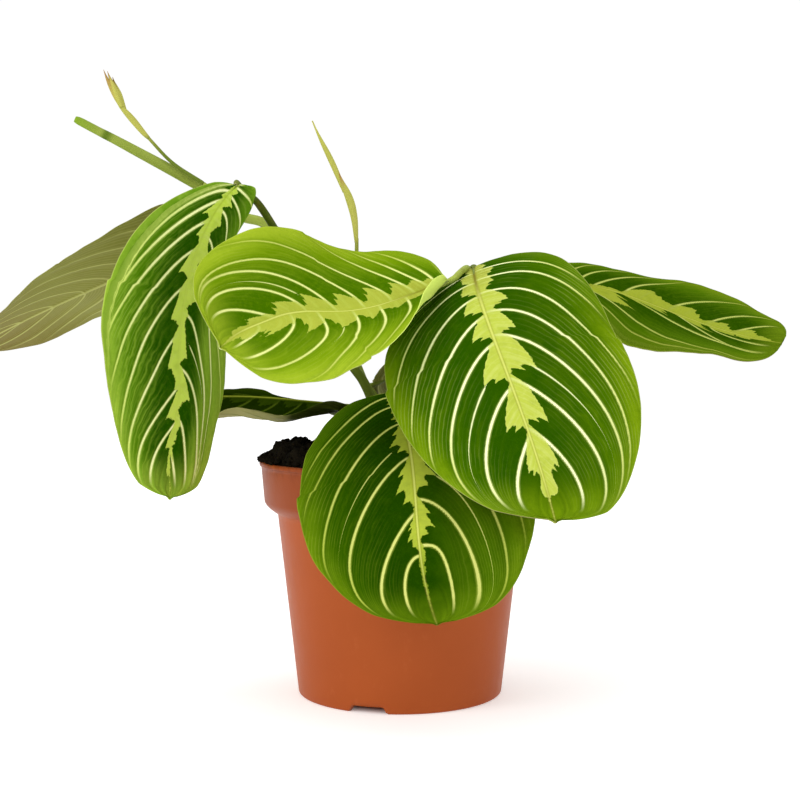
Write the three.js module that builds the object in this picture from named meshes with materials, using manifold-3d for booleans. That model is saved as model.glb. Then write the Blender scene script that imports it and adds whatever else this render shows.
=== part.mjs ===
// A prayer plant (maranta) in a round plastic nursery pot: pot, soil, stems, leaf blades, a rolled new
// leaf and two flower spikes. Millimetres, +Z up. The origin is the centre of the pot's underside, and -Y
// is the front.

import * as THREE from 'three';
import { mergeVertices } from 'three/addons/utils/BufferGeometryUtils.js';
import Module from 'manifold-3d';

const wasm = await Module();
wasm.setup();

// Clearance between pieces that meet
const GAP = 0.3;

// Pot: outer radii and heights, from the underside up
const POT = {
  baseRadius: 43.9,
  bodyTopRadius: 52.8,
  bodyTopHeight: 77.4,
  collarRadius: 58.5,
  collarHeight: 83.4,
  rimRadius: 60,
  lip: 0.6,
  lipHeight: 2,
  height: 100,
  wall: 1.3,
  edgeRadius: 0.8,
  ringWidth: 3.2,
  padRadius: 14,
  floorUnderside: 3.2,
  floorTop: 4.4,
  segments: 40,
};
const NOTCH = { bottomWidth: 17, topWidth: 13, height: 3, fromFront: 17.8, count: 3, depth: 6 };
const DRAIN_HOLE = { radius: 4, circleRadius: 27, count: 6, sides: 12 };

// Soil: a heap that stands a little above the rim, rough all over
const SOIL = { heapHeight: 105.5, edgeHeight: 99.5, shoulder: 4.5, lump: 1.3, rings: 9, sideGap: 0.55 };

// Stems stand upright in their holes between the heights foot and top, and a petiole ends behind its blade,
// under the rib's line, with its last stretch straight
const ROOT = { foot: 80, top: 110, holeTop: 120 };
const STEM_SIDES = 8;
const PETIOLE_LEAD = { from: 3.5, to: 1, under: 1.1 };

// Leaf blades: the rib is a cubic curve from base to tip, and across points to the right side at base,
// middle and tip, as seen on the upper face. Pairs are left side, right side. Angles are in degrees: fold is
// the slope at the rib, curl the bend away from the upper face over a full half width, and roll an extra bend
// of the margin near the base. The base lobes reach back past the petiole by lobe. The margin is waved: wave
// is its height, waves the number along the rib. apex is the length of the pointed tip, as a share.
const LEAF_THICKNESS = 0.8;
const KEEL = { depth: 1.4, halfWidth: 0.05 };
const LEAF_GRID = { along: 16, across: [0.05, 0.25, 0.5, 0.75, 0.92, 1] };
const LEAVES = {
  leaf_left_front: {
    rib: [[-69, -8, 217.5], [-99, -38, 179], [-91, -20, 123], [-98, -12, 84]],
    across: [[-0.65, -0.75, 0], [-0.55, -0.8, 0.1], [-0.75, -0.65, 0.15]],
    halfWidth: [39, 39.5], widest: 0.38, baseRound: 0.5, tipRound: 0.48,
    fold: [1, -6], curl: [30, 19], lobe: 4, wave: [-5, 1], waves: 1.6, phase: [-0.2, 0.05],
    colour: 0x3d7a1c,
  },
  leaf_centre: {
    rib: [[18.5, -41, 175.5], [-13, -43, 158], [-43, -54, 170], [-68, -76, 148]],
    across: [[-0.2, 0.9, 0.4], [-0.35, 0.7, 0.6], [-0.65, 0.1, 0.75]],
    halfWidth: [42.5, 46], widest: 0.47, baseRound: 0.5, tipRound: 0.41,
    fold: [-10, -10], curl: [3, 8], lobe: 1.5, wave: [-0.5, 3], waves: 1.8, phase: [0.05, 0.2],
    roll: [-150, 0], colour: 0x84b01e,
  },
  leaf_right_front: {
    rib: [[30, -30, 181], [28, -89, 162], [47, -84, 127], [56, -102, 85]],
    across: [[-0.95, 0.05, -0.3], [-1, 0, -0.2], [-1, -0.15, 0.05]],
    halfWidth: [48, 48], widest: 0.45, baseRound: 0.45, tipRound: 0.44,
    fold: [1, 4], curl: [20, 36], lobe: 3.5, wave: [-6, 4], waves: 1.5, phase: [-0.35, -0.2],
    colour: 0x37761a,
  },
  leaf_low_front: {
    rib: [[-4, -14, 129], [11, -73, 107], [1, -105, 81], [14, -81, 44]],
    across: [[-1, -0.15, -0.1], [-1, 0, -0.1], [-1, 0.1, -0.1]],
    halfWidth: [46.5, 45.5], widest: 0.48, baseRound: 0.48, tipRound: 0.38,
    fold: [0, 2], curl: [24, 18], lobe: 2, wave: [0, 0], waves: 1.5, phase: [0, 0],
    colour: 0x37761a,
  },
  leaf_right_back: {
    rib: [[66, 10, 175], [95, 25, 183], [127, 33, 157], [172.5, 27, 150.5]],
    across: [[0.15, -0.9, -0.4], [-0.3, -0.85, -0.45], [-0.45, -0.8, -0.45]],
    halfWidth: [40.5, 39], widest: 0.41, baseRound: 0.5, tipRound: 0.36,
    fold: [-4, -10], curl: [19, 19], lobe: 4, wave: [2.5, 4.5], waves: 1.4, phase: [0.3, 0.2], apex: 0,
    colour: 0x3f6f1a,
  },
  leaf_left_back: {
    rib: [[-98, 21, 200], [-112, 18, 180], [-140, 40, 181], [-201, 41, 147]],
    across: [[0.3, 0.65, -0.7], [0.25, 0.95, -0.25], [0.05, 1, -0.15]],
    halfWidth: [39, 37.5], widest: 0.4, baseRound: 0.45, tipRound: 0.49,
    fold: [2, -5], curl: [25, 17], lobe: 6, wave: [-1.5, -4.5], waves: 1.5, phase: [0, 0],
    colour: 0x8a8c55,
  },
  leaf_low_left: {
    rib: [[-15, 20, 123], [-45, 34, 122.5], [-76, 42, 117.5], [-104, 42, 119]],
    across: [[0, 0.9, -0.4], [0, 1, -0.12], [0, 1, 0]],
    halfWidth: [29, 29], widest: 0.42, baseRound: 0.5, tipRound: 0.45,
    fold: [-2, -3], curl: [-2, -5], lobe: 3, wave: [4.5, 6], waves: 0.6, phase: [-0.15, -0.15],
    colour: 0x2c4a14,
  },
  leaf_low_back: {
    rib: [[-12, 20, 133], [6, 32, 140], [28, 48, 142], [50, 66, 134]],
    across: [[0.35, -0.65, 0.65], [0.4, -0.75, 0.5], [0.45, -0.8, 0.4]],
    halfWidth: [26, 26], widest: 0.42, baseRound: 0.5, tipRound: 0.45,
    fold: [0, 0], curl: [12, 12], lobe: 3, wave: [0, 0], waves: 1.5, phase: [0, 0],
    colour: 0x6f7154,
  },
};
const APEX = 0.05;
const APEX_WIDTH = 0.1;
const BEND_STEPS = 12;
const ROLL_END = 0.45;
const LOBE = { power: 5, fromWidth: 0.05, fullWidth: 0.35 };
const BASE_HALF_WIDTH = 1.3;
const TIP_HALF_WIDTH = 0.5;

// Stems and petioles: points from the root or fork up, each with the stem's radius there
const STEMS = {
  shoot_left: {
    root: [-9, 8],
    rootRadius: 2.6,
    colour: 0x46651c,
    runs: [
      {
        points: [
          [-9, 8, ROOT.top], [-11, 7, 122], [-16, 4, 134], [-21, 3, 141], [-38, 5, 170.5],
          [-54.5, 8.5, 200], [-61.3, 11.5, 211.8], [-63.6, 8.5, 216.6], [-65.6, 3, 219.2],
          [-66.8, -2, 219.9],
          'leaf_left_front',
        ],
        radii: [2.6, 2.3, 2.1, 2, 1.8, 1.7, 1.7, 1.6, 1.5, 1.5, 1.3, 0.9],
      },
      {
        points: [
          [-15, 4.6, 132], [-22, 10, 148], [-36, 20, 177], [-50, 26, 196], [-62, 27, 205],
          [-71.4, 27, 207.7], [-80.2, 26.3, 214.9], [-88.2, 24, 219.7],
        ],
        radii: [1.8, 2, 2.1, 2.2, 2.2, 2.3, 2.6, 2.6],
      },
      {
        points: [[-80.2, 25.5, 214.9], [-82.5, 19.8, 217.4], [-87.05, 18.55, 221.15]],
        radii: [1.2, 1.1, 1],
      },
      {
        points: [[-71.4, 27, 207.7], [-82, 27, 212], [-91, 25, 211], [-96, 22.6, 206], 'leaf_left_back'],
        radii: [1.5, 1.5, 1.6, 1.6, 1.6, 1.2],
      },
      {
        points: [[-19, 8, 143], [-21, 10, 155], [-20, 8, 172], [-19, 6, 186]],
        radii: [1.4, 1.3, 1.1, 0.9],
      },
      {
        points: [[-10, 8, 114], [-10.5, 12, 119], 'leaf_low_left'],
        radii: [1.6, 1.6, 1.5, 1.1],
      },
      {
        points: [[-10, 9, 117], [-9.5, 12, 124], [-13, 15.5, 129.5], 'leaf_low_back'],
        radii: [1.6, 1.6, 1.6, 1.5, 1.1],
      },
    ],
  },
  shoot_right: {
    root: [11, 8],
    rootRadius: 2.8,
    colour: 0x55741f,
    runs: [
      {
        points: [
          [11, 8, ROOT.top], [12, 5, 125], [17, -3, 148], [24, -11, 169], [29, -20, 180],
          'leaf_right_front',
        ],
        radii: [2.8, 2.5, 2.2, 1.9, 1.9, 1.7, 1.2],
      },
      {
        points: [[29, -20, 180], [28.5, -27, 183.4], [27, -34, 183], [24.5, -39, 180], 'leaf_centre'],
        radii: [1.6, 1.5, 1.5, 1.5, 1.4, 1.1],
      },
      {
        points: [[12, 5, 122], [22, 4, 142], [40, 4, 160], [55, 6, 171], 'leaf_right_back'],
        radii: [1.8, 1.7, 1.7, 1.7, 1.6, 1.1],
      },
    ],
  },
  shoot_low: {
    root: [0, -3],
    rootRadius: 2.2,
    colour: 0x4a6a1d,
    runs: [
      {
        points: [[0, -3, ROOT.top], [-1, -1, 119], [-3, -3, 127], 'leaf_low_front'],
        radii: [2.2, 2, 1.8, 1.7, 1.1],
      },
    ],
  },
};

// The new leaf, still rolled up, goes on from the sheath at the top of the left shoot
const ROLLED_LEAF = {
  points: [[-88.6, 23.8, 220], [-101.3, 19.5, 227], [-121.3, 11, 237.5], [-140.2, 6, 247]],
  radii: [2.5, 2.5, 2.4, 1.75],
  lip: 0.12,
  sides: 12,
  steps: 8,
  colour: 0x86a336,
};

// Flower spikes: a stalk and pointed bracts that clasp it
const SPIKES = {
  flower_spike_left: {
    stalk: {
      points: [[-87.4, 18.5, 221.4], [-100.7, 16.3, 230.3], [-111.5, 15.5, 241.6]],
      radii: [1, 0.8, 0.75],
    },
    bracts: [
      {
        points: [[-110.8, 15.6, 240.9], [-114.1, 15.2, 244.8], [-119.8, 14.5, 252], [-125.1, 13.6, 260.7]],
        radii: [0.8, 1.5, 1.9, 0.6],
      },
      {
        points: [[-118.5, 14.6, 250.4], [-122.7, 14, 256], [-126.4, 13.3, 263], [-129.4, 12.6, 269.8]],
        radii: [1, 2, 1.8, 0.4],
      },
    ],
    colour: 0xb9b04e,
  },
  flower_spike_middle: {
    stalk: {
      points: [[-18.9, 5.8, 186.4], [-18.8, 5.5, 196]],
      radii: [0.9, 0.9],
    },
    bracts: [
      {
        points: [[-18.9, 5.5, 194], [-20.2, 5, 205], [-23, 4.6, 216], [-26.4, 4, 224.5]],
        radii: [1, 1.8, 1.6, 0.4],
      },
      {
        points: [[-24, 4.8, 215], [-28.2, 4.4, 226], [-33, 3.6, 236.5], [-37.6, 3, 246.5]],
        radii: [0.9, 1.5, 1.5, 0.4],
      },
    ],
    colour: 0xc0bd5e,
  },
};

const COLOUR = { pot: 0xb8663a, soil: 0x2b2320 };

const radians = THREE.MathUtils.degToRad;
const clamp = THREE.MathUtils.clamp;

/** One closed body for joining and cutting. */
function toSolid(geometry) {
  const bare = geometry.clone();
  bare.deleteAttribute('normal');
  bare.deleteAttribute('uv');
  const merged = mergeVertices(bare, 1e-4);
  return new wasm.Manifold(new wasm.Mesh({
    numProp: 3,
    vertProperties: new Float32Array(merged.attributes.position.array),
    triVerts: new Uint32Array(merged.index.array),
  }));
}

/** The three.js geometry of a joined or cut body. */
function toGeometry(solid) {
  const mesh = solid.getMesh();
  const geometry = new THREE.BufferGeometry();
  geometry.setAttribute('position', new THREE.BufferAttribute(mesh.vertProperties, 3));
  geometry.setIndex(new THREE.BufferAttribute(mesh.triVerts, 1));
  geometry.computeVertexNormals();
  return geometry;
}

/** A geometry from a list of corner points and a list of triangles. */
function meshFrom(points, triangles) {
  const geometry = new THREE.BufferGeometry().setFromPoints(points);
  geometry.setIndex(triangles);
  geometry.computeVertexNormals();
  return geometry;
}

function named(name, geometry, colour, roughness) {
  const material = new THREE.MeshStandardMaterial({ color: colour, roughness, metalness: 0 });
  const mesh = new THREE.Mesh(geometry, material);
  mesh.name = name;
  return mesh;
}

function upright(radius, from, to, x, y, sides) {
  const geometry = new THREE.CylinderGeometry(radius, radius, to - from, sides);
  geometry.rotateX(Math.PI / 2);
  geometry.translate(x, y, (from + to) / 2);
  return geometry;
}

/** Outer radius of the pot's wall at a height. */
function potRadius(height) {
  const { baseRadius, bodyTopRadius, bodyTopHeight, collarRadius, collarHeight, rimRadius } = POT;
  if (height <= bodyTopHeight) {
    return THREE.MathUtils.mapLinear(height, 0, bodyTopHeight, baseRadius, bodyTopRadius);
  }
  if (height <= collarHeight) {
    const turn = (height - bodyTopHeight) / (collarHeight - bodyTopHeight);
    return bodyTopRadius + (collarRadius - bodyTopRadius) * Math.sin(turn * Math.PI / 2);
  }
  return THREE.MathUtils.mapLinear(height, collarHeight, POT.height, collarRadius, rimRadius);
}

function potProfile() {
  const { height, wall, edgeRadius, ringWidth, padRadius, floorUnderside, floorTop, lip, lipHeight } = POT;
  const { baseRadius, bodyTopHeight, collarHeight } = POT;
  const shoulder = [0, 0.25, 0.5, 0.75, 1]
    .map((share) => THREE.MathUtils.lerp(bodyTopHeight, collarHeight, share));
  const outer = [height / 4, height / 2, ...shoulder];
  const inner = [...shoulder].reverse().concat([height / 2, height / 4]);
  const pairs = [
    [0, 0],
    [padRadius, 0],
    [padRadius + 1, floorUnderside],
    [baseRadius - ringWidth - 1, floorUnderside],
    [baseRadius - ringWidth, 0],
    [baseRadius - edgeRadius, 0],
    [potRadius(edgeRadius), edgeRadius],
    ...outer.map((level) => [potRadius(level), level]),
    [potRadius(height - lipHeight), height - lipHeight],
    [potRadius(height) + lip, height - lipHeight * 0.8],
    [potRadius(height) + lip, height - lip],
    [potRadius(height), height],
    [potRadius(height) - wall, height],
    ...inner.map((level) => [potRadius(level) - wall, level]),
    [potRadius(floorTop) - wall, floorTop],
    [0, floorTop],
  ];
  return pairs.map(([radius, level]) => new THREE.Vector2(radius, level));
}

/** A wedge-sided block that opens the standing ring at one drainage notch. */
function notchGeometry(index) {
  const { bottomWidth, topWidth, height, fromFront, count, depth } = NOTCH;
  const outline = new THREE.Shape([
    new THREE.Vector2(-bottomWidth / 2, -1),
    new THREE.Vector2(bottomWidth / 2, -1),
    new THREE.Vector2(topWidth / 2, height),
    new THREE.Vector2(-topWidth / 2, height),
  ]);
  const geometry = new THREE.ExtrudeGeometry(outline, { depth: depth * 2, bevelEnabled: false });
  geometry.rotateX(Math.PI / 2);
  geometry.translate(0, depth - POT.baseRadius, 0);
  geometry.rotateZ(-radians(fromFront) + index * 2 * Math.PI / count);
  return geometry;
}

function makePot() {
  const lathe = new THREE.LatheGeometry(potProfile(), POT.segments);
  lathe.rotateX(Math.PI / 2);
  let solid = toSolid(lathe);
  for (let index = 0; index < NOTCH.count; index += 1) {
    solid = solid.subtract(toSolid(notchGeometry(index)));
  }
  const { radius, circleRadius, count, sides } = DRAIN_HOLE;
  for (let index = 0; index < count; index += 1) {
    const turn = index * 2 * Math.PI / count;
    const x = circleRadius * Math.cos(turn);
    const y = circleRadius * Math.sin(turn);
    solid = solid.subtract(toSolid(upright(radius, 0, POT.floorTop + 1, x, y, sides)));
  }
  return named('pot', toGeometry(solid), COLOUR.pot, 0.45);
}

/** Height of the rough soil surface. */
function soilHeight(radius, turn, edge) {
  const { heapHeight, edgeHeight, shoulder, lump } = SOIL;
  const rise = clamp((edge - radius) / shoulder, 0, 1);
  const x = radius * Math.cos(turn);
  const y = radius * Math.sin(turn);
  const rough = Math.sin(x * 0.35 + 1.3 * Math.sin(y * 0.21)) + Math.sin(y * 0.41 - x * 0.17 + 2);
  return edgeHeight + (heapHeight - edgeHeight) * Math.sin(rise * Math.PI / 2) + lump * rough * rise;
}

function makeSoil() {
  const { segments, wall, floorTop, bodyTopHeight, collarHeight } = POT;
  const side = (level) => potRadius(level) - wall - SOIL.sideGap;
  const middleHeight = (bodyTopHeight + collarHeight) / 2;
  const levels = [floorTop + GAP, bodyTopHeight, middleHeight, collarHeight, SOIL.edgeHeight];
  const edge = side(SOIL.edgeHeight);
  const rows = levels.map((level) => ({ radius: side(level), level: () => level }));
  for (let ring = 1; ring < SOIL.rings; ring += 1) {
    const radius = edge * (1 - ring / SOIL.rings);
    rows.push({ radius, level: (turn) => soilHeight(radius, turn, edge) });
  }
  const points = [new THREE.Vector3(0, 0, levels[0])];
  for (const row of rows) {
    for (let step = 0; step < segments; step += 1) {
      const turn = step * 2 * Math.PI / segments;
      const x = row.radius * Math.cos(turn);
      const y = row.radius * Math.sin(turn);
      points.push(new THREE.Vector3(x, y, row.level(turn)));
    }
  }
  points.push(new THREE.Vector3(0, 0, soilHeight(0, 0, edge)));
  const triangles = [];
  const at = (row, step) => 1 + row * segments + (step % segments);
  for (let step = 0; step < segments; step += 1) {
    triangles.push(0, at(0, step + 1), at(0, step));
    for (let row = 0; row < rows.length - 1; row += 1) {
      triangles.push(at(row, step), at(row, step + 1), at(row + 1, step + 1));
      triangles.push(at(row, step), at(row + 1, step + 1), at(row + 1, step));
    }
    triangles.push(at(rows.length - 1, step), at(rows.length - 1, step + 1), points.length - 1);
  }
  let solid = toSolid(meshFrom(points, triangles));
  for (const { root: [x, y], rootRadius } of Object.values(STEMS)) {
    const holeRadius = (rootRadius + GAP) / Math.cos(Math.PI / STEM_SIDES);
    solid = solid.subtract(toSolid(upright(holeRadius, ROOT.foot - GAP, ROOT.holeTop, x, y, STEM_SIDES)));
  }
  return named('soil', toGeometry(solid), COLOUR.soil, 0.95);
}

/** Half width of a blade at s, as a share of its widest, with a short point at the tip. */
function bladeProfile(s, { widest, baseRound, tipRound, apex = APEX }) {
  const end = 1 - apex / 2;
  const lower = Math.max(0, 1 - (Math.max(0, widest - s) / widest) ** 2) ** baseRound;
  const upper = Math.max(0, 1 - Math.min(1, Math.max(0, s - widest) / (end - widest)) ** 2) ** tipRound;
  const point = apex > 0 && s > widest ? APEX_WIDTH * Math.min(1, (1 - s) / (2 * apex)) : 0;
  return Math.cbrt((s < widest ? lower : upper) ** 3 + point ** 3);
}

/** A leaf blade's surface: its rib, its directions and the point at s along and q across. */
class LeafSurface {
  constructor(size) {
    this.size = size;
    this.rib = new THREE.CubicBezierCurve3(...size.rib.map((point) => new THREE.Vector3(...point)));
    this.turns = size.across.map((direction) => new THREE.Vector3(...direction).normalize());
  }

  directions(s) {
    const along = this.rib.getTangentAt(s);
    const across = new THREE.Vector3()
      .addScaledVector(this.turns[0], (1 - s) * (1 - 2 * s))
      .addScaledVector(this.turns[1], 4 * s * (1 - s))
      .addScaledVector(this.turns[2], s * (2 * s - 1))
      .normalize();
    const face = new THREE.Vector3().crossVectors(across, along).normalize();
    return { along, across, face };
  }

  /** Distance across and height above the rib's plane, from the bend of one side. */
  section(s, share, side, halfWidth, width) {
    const { fold, curl, roll = [0, 0] } = this.size;
    const rolled = roll[side] * Math.max(0, 1 - s / ROLL_END) ** 2;
    let out = 0;
    let up = 0;
    for (let step = 0; step < BEND_STEPS; step += 1) {
      const part = share * (step + 0.5) / BEND_STEPS;
      const bend = radians(fold[side] + curl[side] * width * part + rolled * part ** 3);
      out += Math.cos(bend) / BEND_STEPS;
      up -= Math.sin(bend) / BEND_STEPS;
    }
    return { out: out * share * halfWidth, up: up * share * halfWidth };
  }

  point(s, q) {
    const { halfWidth, lobe, wave, waves, phase } = this.size;
    const side = q < 0 ? 0 : 1;
    const share = Math.abs(q);
    const least = s < 0.5 ? BASE_HALF_WIDTH : TIP_HALF_WIDTH;
    const width = Math.max(bladeProfile(s, this.size), least / halfWidth[side]);
    const { out, up } = this.section(s, share, side, halfWidth[side] * width, width);
    const ripple = wave[side] * q * q * width * Math.sin(2 * Math.PI * (waves * s + phase[side]));
    const fullness = clamp((width - LOBE.fromWidth) / (LOBE.fullWidth - LOBE.fromWidth), 0, 1);
    const back = lobe * q * q * (1 - s) ** LOBE.power * fullness;
    const { along, across, face } = this.directions(s);
    return this.rib.getPointAt(s)
      .addScaledVector(across, Math.sign(q) * out)
      .addScaledVector(face, up + ripple)
      .addScaledVector(along, -back);
  }

  /** The last two points of a petiole that meets the blade's base squarely, a gap away. */
  petioleEnd() {
    const { along, face } = this.directions(0);
    const { from, to, under } = PETIOLE_LEAD;
    const base = this.rib.getPointAt(0).addScaledVector(face, -under);
    return [from, to].map((lead) => base.clone().addScaledVector(along, -lead));
  }
}

/** A thin closed blade with a keel along the underside of its rib. */
function bladeGeometry(size) {
  const surface = new LeafSurface(size);
  const stops = [...LEAF_GRID.across.map((q) => -q).reverse(), 0, ...LEAF_GRID.across];
  const rows = LEAF_GRID.along;
  const middle = [];
  for (let row = 0; row <= rows; row += 1) {
    const s = (1 - Math.cos(Math.PI * row / rows)) / 2;
    stops.forEach((q) => middle.push(surface.point(s, q)));
  }
  const columns = stops.length;
  const face = [];
  for (let row = 0; row < rows; row += 1) {
    for (let column = 0; column < columns - 1; column += 1) {
      const corner = row * columns + column;
      face.push([corner, corner + 1, corner + columns + 1]);
      face.push([corner, corner + columns + 1, corner + columns]);
    }
  }
  const normals = meshFrom(middle, face.flat()).attributes.normal;
  const upper = [];
  const lower = [];
  middle.forEach((point, index) => {
    const normal = new THREE.Vector3().fromBufferAttribute(normals, index);
    const ribShare = 1 - Math.min(1, Math.abs(stops[index % columns]) / KEEL.halfWidth);
    const keel = KEEL.depth * ribShare * (1 - Math.floor(index / columns) / rows);
    upper.push(point.clone().addScaledVector(normal, LEAF_THICKNESS / 2));
    lower.push(point.clone().addScaledVector(normal, -LEAF_THICKNESS / 2 - keel));
  });
  const count = middle.length;
  const triangles = face.flatMap(([a, b, c]) => [a, b, c, a + count, c + count, b + count]);
  const acrossSteps = Array.from({ length: columns - 1 }, (_, column) => column);
  const alongSteps = Array.from({ length: rows }, (_, row) => row);
  const rim = [
    ...acrossSteps,
    ...alongSteps.map((row) => row * columns + columns - 1),
    ...acrossSteps.map((column) => rows * columns + columns - 1 - column),
    ...alongSteps.map((row) => (rows - row) * columns),
  ];
  rim.forEach((from, index) => {
    const to = rim[(index + 1) % rim.length];
    triangles.push(from, from + count, to + count, from, to + count, to);
  });
  return meshFrom([...upper, ...lower], triangles);
}

/** A closed round tube with a radius at each point; lip opens its section into a spiral. */
function tubeGeometry(points, radii, { sides = STEM_SIDES, steps = points.length * 2, lip = 0 } = {}) {
  const curve = new THREE.CatmullRomCurve3(points, false, 'centripetal');
  const frames = curve.computeFrenetFrames(steps, false);
  const corners = [];
  for (let step = 0; step <= steps; step += 1) {
    const along = curve.getUtoTmapping(step / steps) * (points.length - 1);
    const before = Math.min(Math.floor(along), points.length - 2);
    const radius = THREE.MathUtils.lerp(radii[before], radii[before + 1], along - before);
    const centre = curve.getPointAt(step / steps);
    for (let side = 0; side < sides; side += 1) {
      const turn = side * 2 * Math.PI / sides;
      const reach = radius * (1 + lip * side / sides);
      corners.push(centre.clone()
        .addScaledVector(frames.normals[step], reach * Math.cos(turn))
        .addScaledVector(frames.binormals[step], reach * Math.sin(turn)));
    }
  }
  const triangles = [];
  for (let step = 0; step < steps; step += 1) {
    for (let side = 0; side < sides; side += 1) {
      const here = step * sides + side;
      const next = step * sides + (side + 1) % sides;
      triangles.push(here, next, next + sides, here, next + sides, here + sides);
    }
  }
  const first = corners.length;
  corners.push(points[0].clone(), points[points.length - 1].clone());
  for (let side = 0; side < sides; side += 1) {
    const next = (side + 1) % sides;
    triangles.push(first, next, side);
    triangles.push(first + 1, steps * sides + side, steps * sides + next);
  }
  return meshFrom(corners, triangles);
}

/** One run of a stem; a leaf's name as its last point means the base of that leaf. */
function runGeometry({ points, radii }) {
  const places = points.flatMap((point) => (
    typeof point === 'string' ? new LeafSurface(LEAVES[point]).petioleEnd() : [new THREE.Vector3(...point)]
  ));
  return tubeGeometry(places, radii);
}

function makeShoot(name, { root: [x, y], rootRadius, runs, colour }) {
  let solid = toSolid(upright(rootRadius, ROOT.foot, ROOT.top + 1, x, y, STEM_SIDES));
  for (const run of runs) {
    solid = solid.add(toSolid(runGeometry(run)));
  }
  return named(name, toGeometry(solid), colour, 0.5);
}

function makeRolledLeaf() {
  const { points, radii, sides, steps, lip, colour } = ROLLED_LEAF;
  const places = points.map((point) => new THREE.Vector3(...point));
  return named('rolled_leaf', tubeGeometry(places, radii, { sides, steps, lip }), colour, 0.5);
}

function makeSpike(name, { stalk, bracts, colour }) {
  let solid = toSolid(runGeometry(stalk));
  for (const bract of bracts) {
    solid = solid.add(toSolid(runGeometry(bract)));
  }
  return named(name, toGeometry(solid), colour, 0.55);
}

const plant = new THREE.Group();
plant.add(makePot(), makeSoil());
for (const [name, shoot] of Object.entries(STEMS)) {
  plant.add(makeShoot(name, shoot));
}
for (const [name, size] of Object.entries(LEAVES)) {
  plant.add(named(name, bladeGeometry(size), size.colour, 0.4));
}
plant.add(makeRolledLeaf());
for (const [name, spike] of Object.entries(SPIKES)) {
  plant.add(makeSpike(name, spike));
}

export default plant;
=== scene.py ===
"""Potted prayer plant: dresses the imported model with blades, stems, soil, pot and studio."""
import logging
import math
from collections.abc import Callable
from dataclasses import dataclass, field
from enum import Enum

import bpy
import numpy as np
from bpy.types import Material, Mesh, NodeSocket, Object
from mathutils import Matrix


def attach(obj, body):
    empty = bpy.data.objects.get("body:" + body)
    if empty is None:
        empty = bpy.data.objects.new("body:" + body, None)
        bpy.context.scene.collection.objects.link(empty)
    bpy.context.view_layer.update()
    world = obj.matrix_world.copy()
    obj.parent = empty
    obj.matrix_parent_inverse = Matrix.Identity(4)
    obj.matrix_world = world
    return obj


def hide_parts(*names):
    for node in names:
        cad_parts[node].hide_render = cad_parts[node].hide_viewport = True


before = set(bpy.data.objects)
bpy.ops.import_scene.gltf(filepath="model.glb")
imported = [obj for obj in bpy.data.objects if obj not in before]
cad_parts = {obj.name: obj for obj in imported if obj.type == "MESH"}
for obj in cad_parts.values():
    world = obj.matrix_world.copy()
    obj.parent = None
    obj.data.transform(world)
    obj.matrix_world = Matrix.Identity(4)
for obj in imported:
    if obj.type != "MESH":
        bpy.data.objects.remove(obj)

LOG = logging.getLogger("prayer_plant")

# Shapes are worked out in millimetres and turned into metres as each mesh is made
MM = 0.001

Pair = tuple[float, float]
Point = tuple[float, float, float]
Colour = tuple[int, int, int]
Array = np.ndarray
Stops = tuple[tuple[float, Point], ...]


def unit(vectors: Array) -> Array:
    """Vectors scaled to length one along their last axis."""
    return vectors / np.linalg.norm(vectors, axis=-1, keepdims=True)


def ease(value: Array | float, low: float, high: float) -> Array:
    """Smooth rise from 0 at low to 1 at high."""
    share = np.clip((np.asarray(value, float) - low) / (high - low), 0, 1)
    return share * share * (3 - 2 * share)


def paint(colour: Colour) -> tuple[float, float, float, float]:
    """Linear colour of screen values from 0 to 255."""
    shares = [value / 255 for value in colour]
    return (*(v / 12.92 if v <= 0.04045 else ((v + 0.055) / 1.055) ** 2.4 for v in shares), 1.0)


def grid_faces(rows: int, columns: int, wrap: bool = False) -> Array:
    """Quads of a grid of points.

    Args:
        rows: Number of rows of points.
        columns: Number of points in a row.
        wrap: Whether the last point of a row joins its first.

    Returns:
        One row of four point numbers for each face.
    """
    row, column = np.meshgrid(np.arange(rows - 1), np.arange(columns - (not wrap)), indexing="ij")
    after = (column + 1) % columns
    here, there = row * columns, (row + 1) * columns
    corners = (here + column, here + after, there + after, there + column)
    return np.stack([corner.ravel() for corner in corners], 1)


def fan_faces(columns: int) -> Array:
    """Triangles from a ring of points to the hub that comes after them."""
    step = np.arange(columns)
    return np.stack([step, (step + 1) % columns, np.full(columns, columns)], 1)


def pack_charts(charts: list[Array], margin: float = 0.004) -> list[Array]:
    """Lay flat patches on shelves in the unit square, as large as fits.

    Args:
        charts: The patches' corners, in millimetres.
        margin: Clear space round each, as a share of the square.

    Returns:
        Each patch's corners, placed.
    """
    sizes = [np.ptp(chart.reshape(-1, 2), axis=0) for chart in charts]
    order = sorted(range(len(charts)), key=lambda index: -sizes[index][1])

    def shelves(scale: float) -> dict[int, Pair] | None:
        """Lay the patches out at one scale.

        Args:
            scale: Share of the square for each millimetre.

        Returns:
            Each patch's place, or nothing if they don't fit.
        """
        places = {}
        x = y = margin
        shelf = 0.0
        for index in order:
            width, height = sizes[index] * scale
            if x + width + margin > 1:
                x = margin
                y += shelf + margin
                shelf = 0.0
            if x + width + margin > 1 or y + height + margin > 1:
                return None
            places[index] = (x, y)
            x += width + margin
            shelf = max(shelf, height)
        return places

    low, high = 1e-6, 1.0
    for _ in range(24):
        middle = math.sqrt(low * high)
        low, high = (middle, high) if shelves(middle) else (low, middle)
    places = shelves(low) or {}
    return [
        (chart - chart.reshape(-1, 2).min(0)) * low + np.array(places[index])
        for index, chart in enumerate(charts)
    ]


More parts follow.
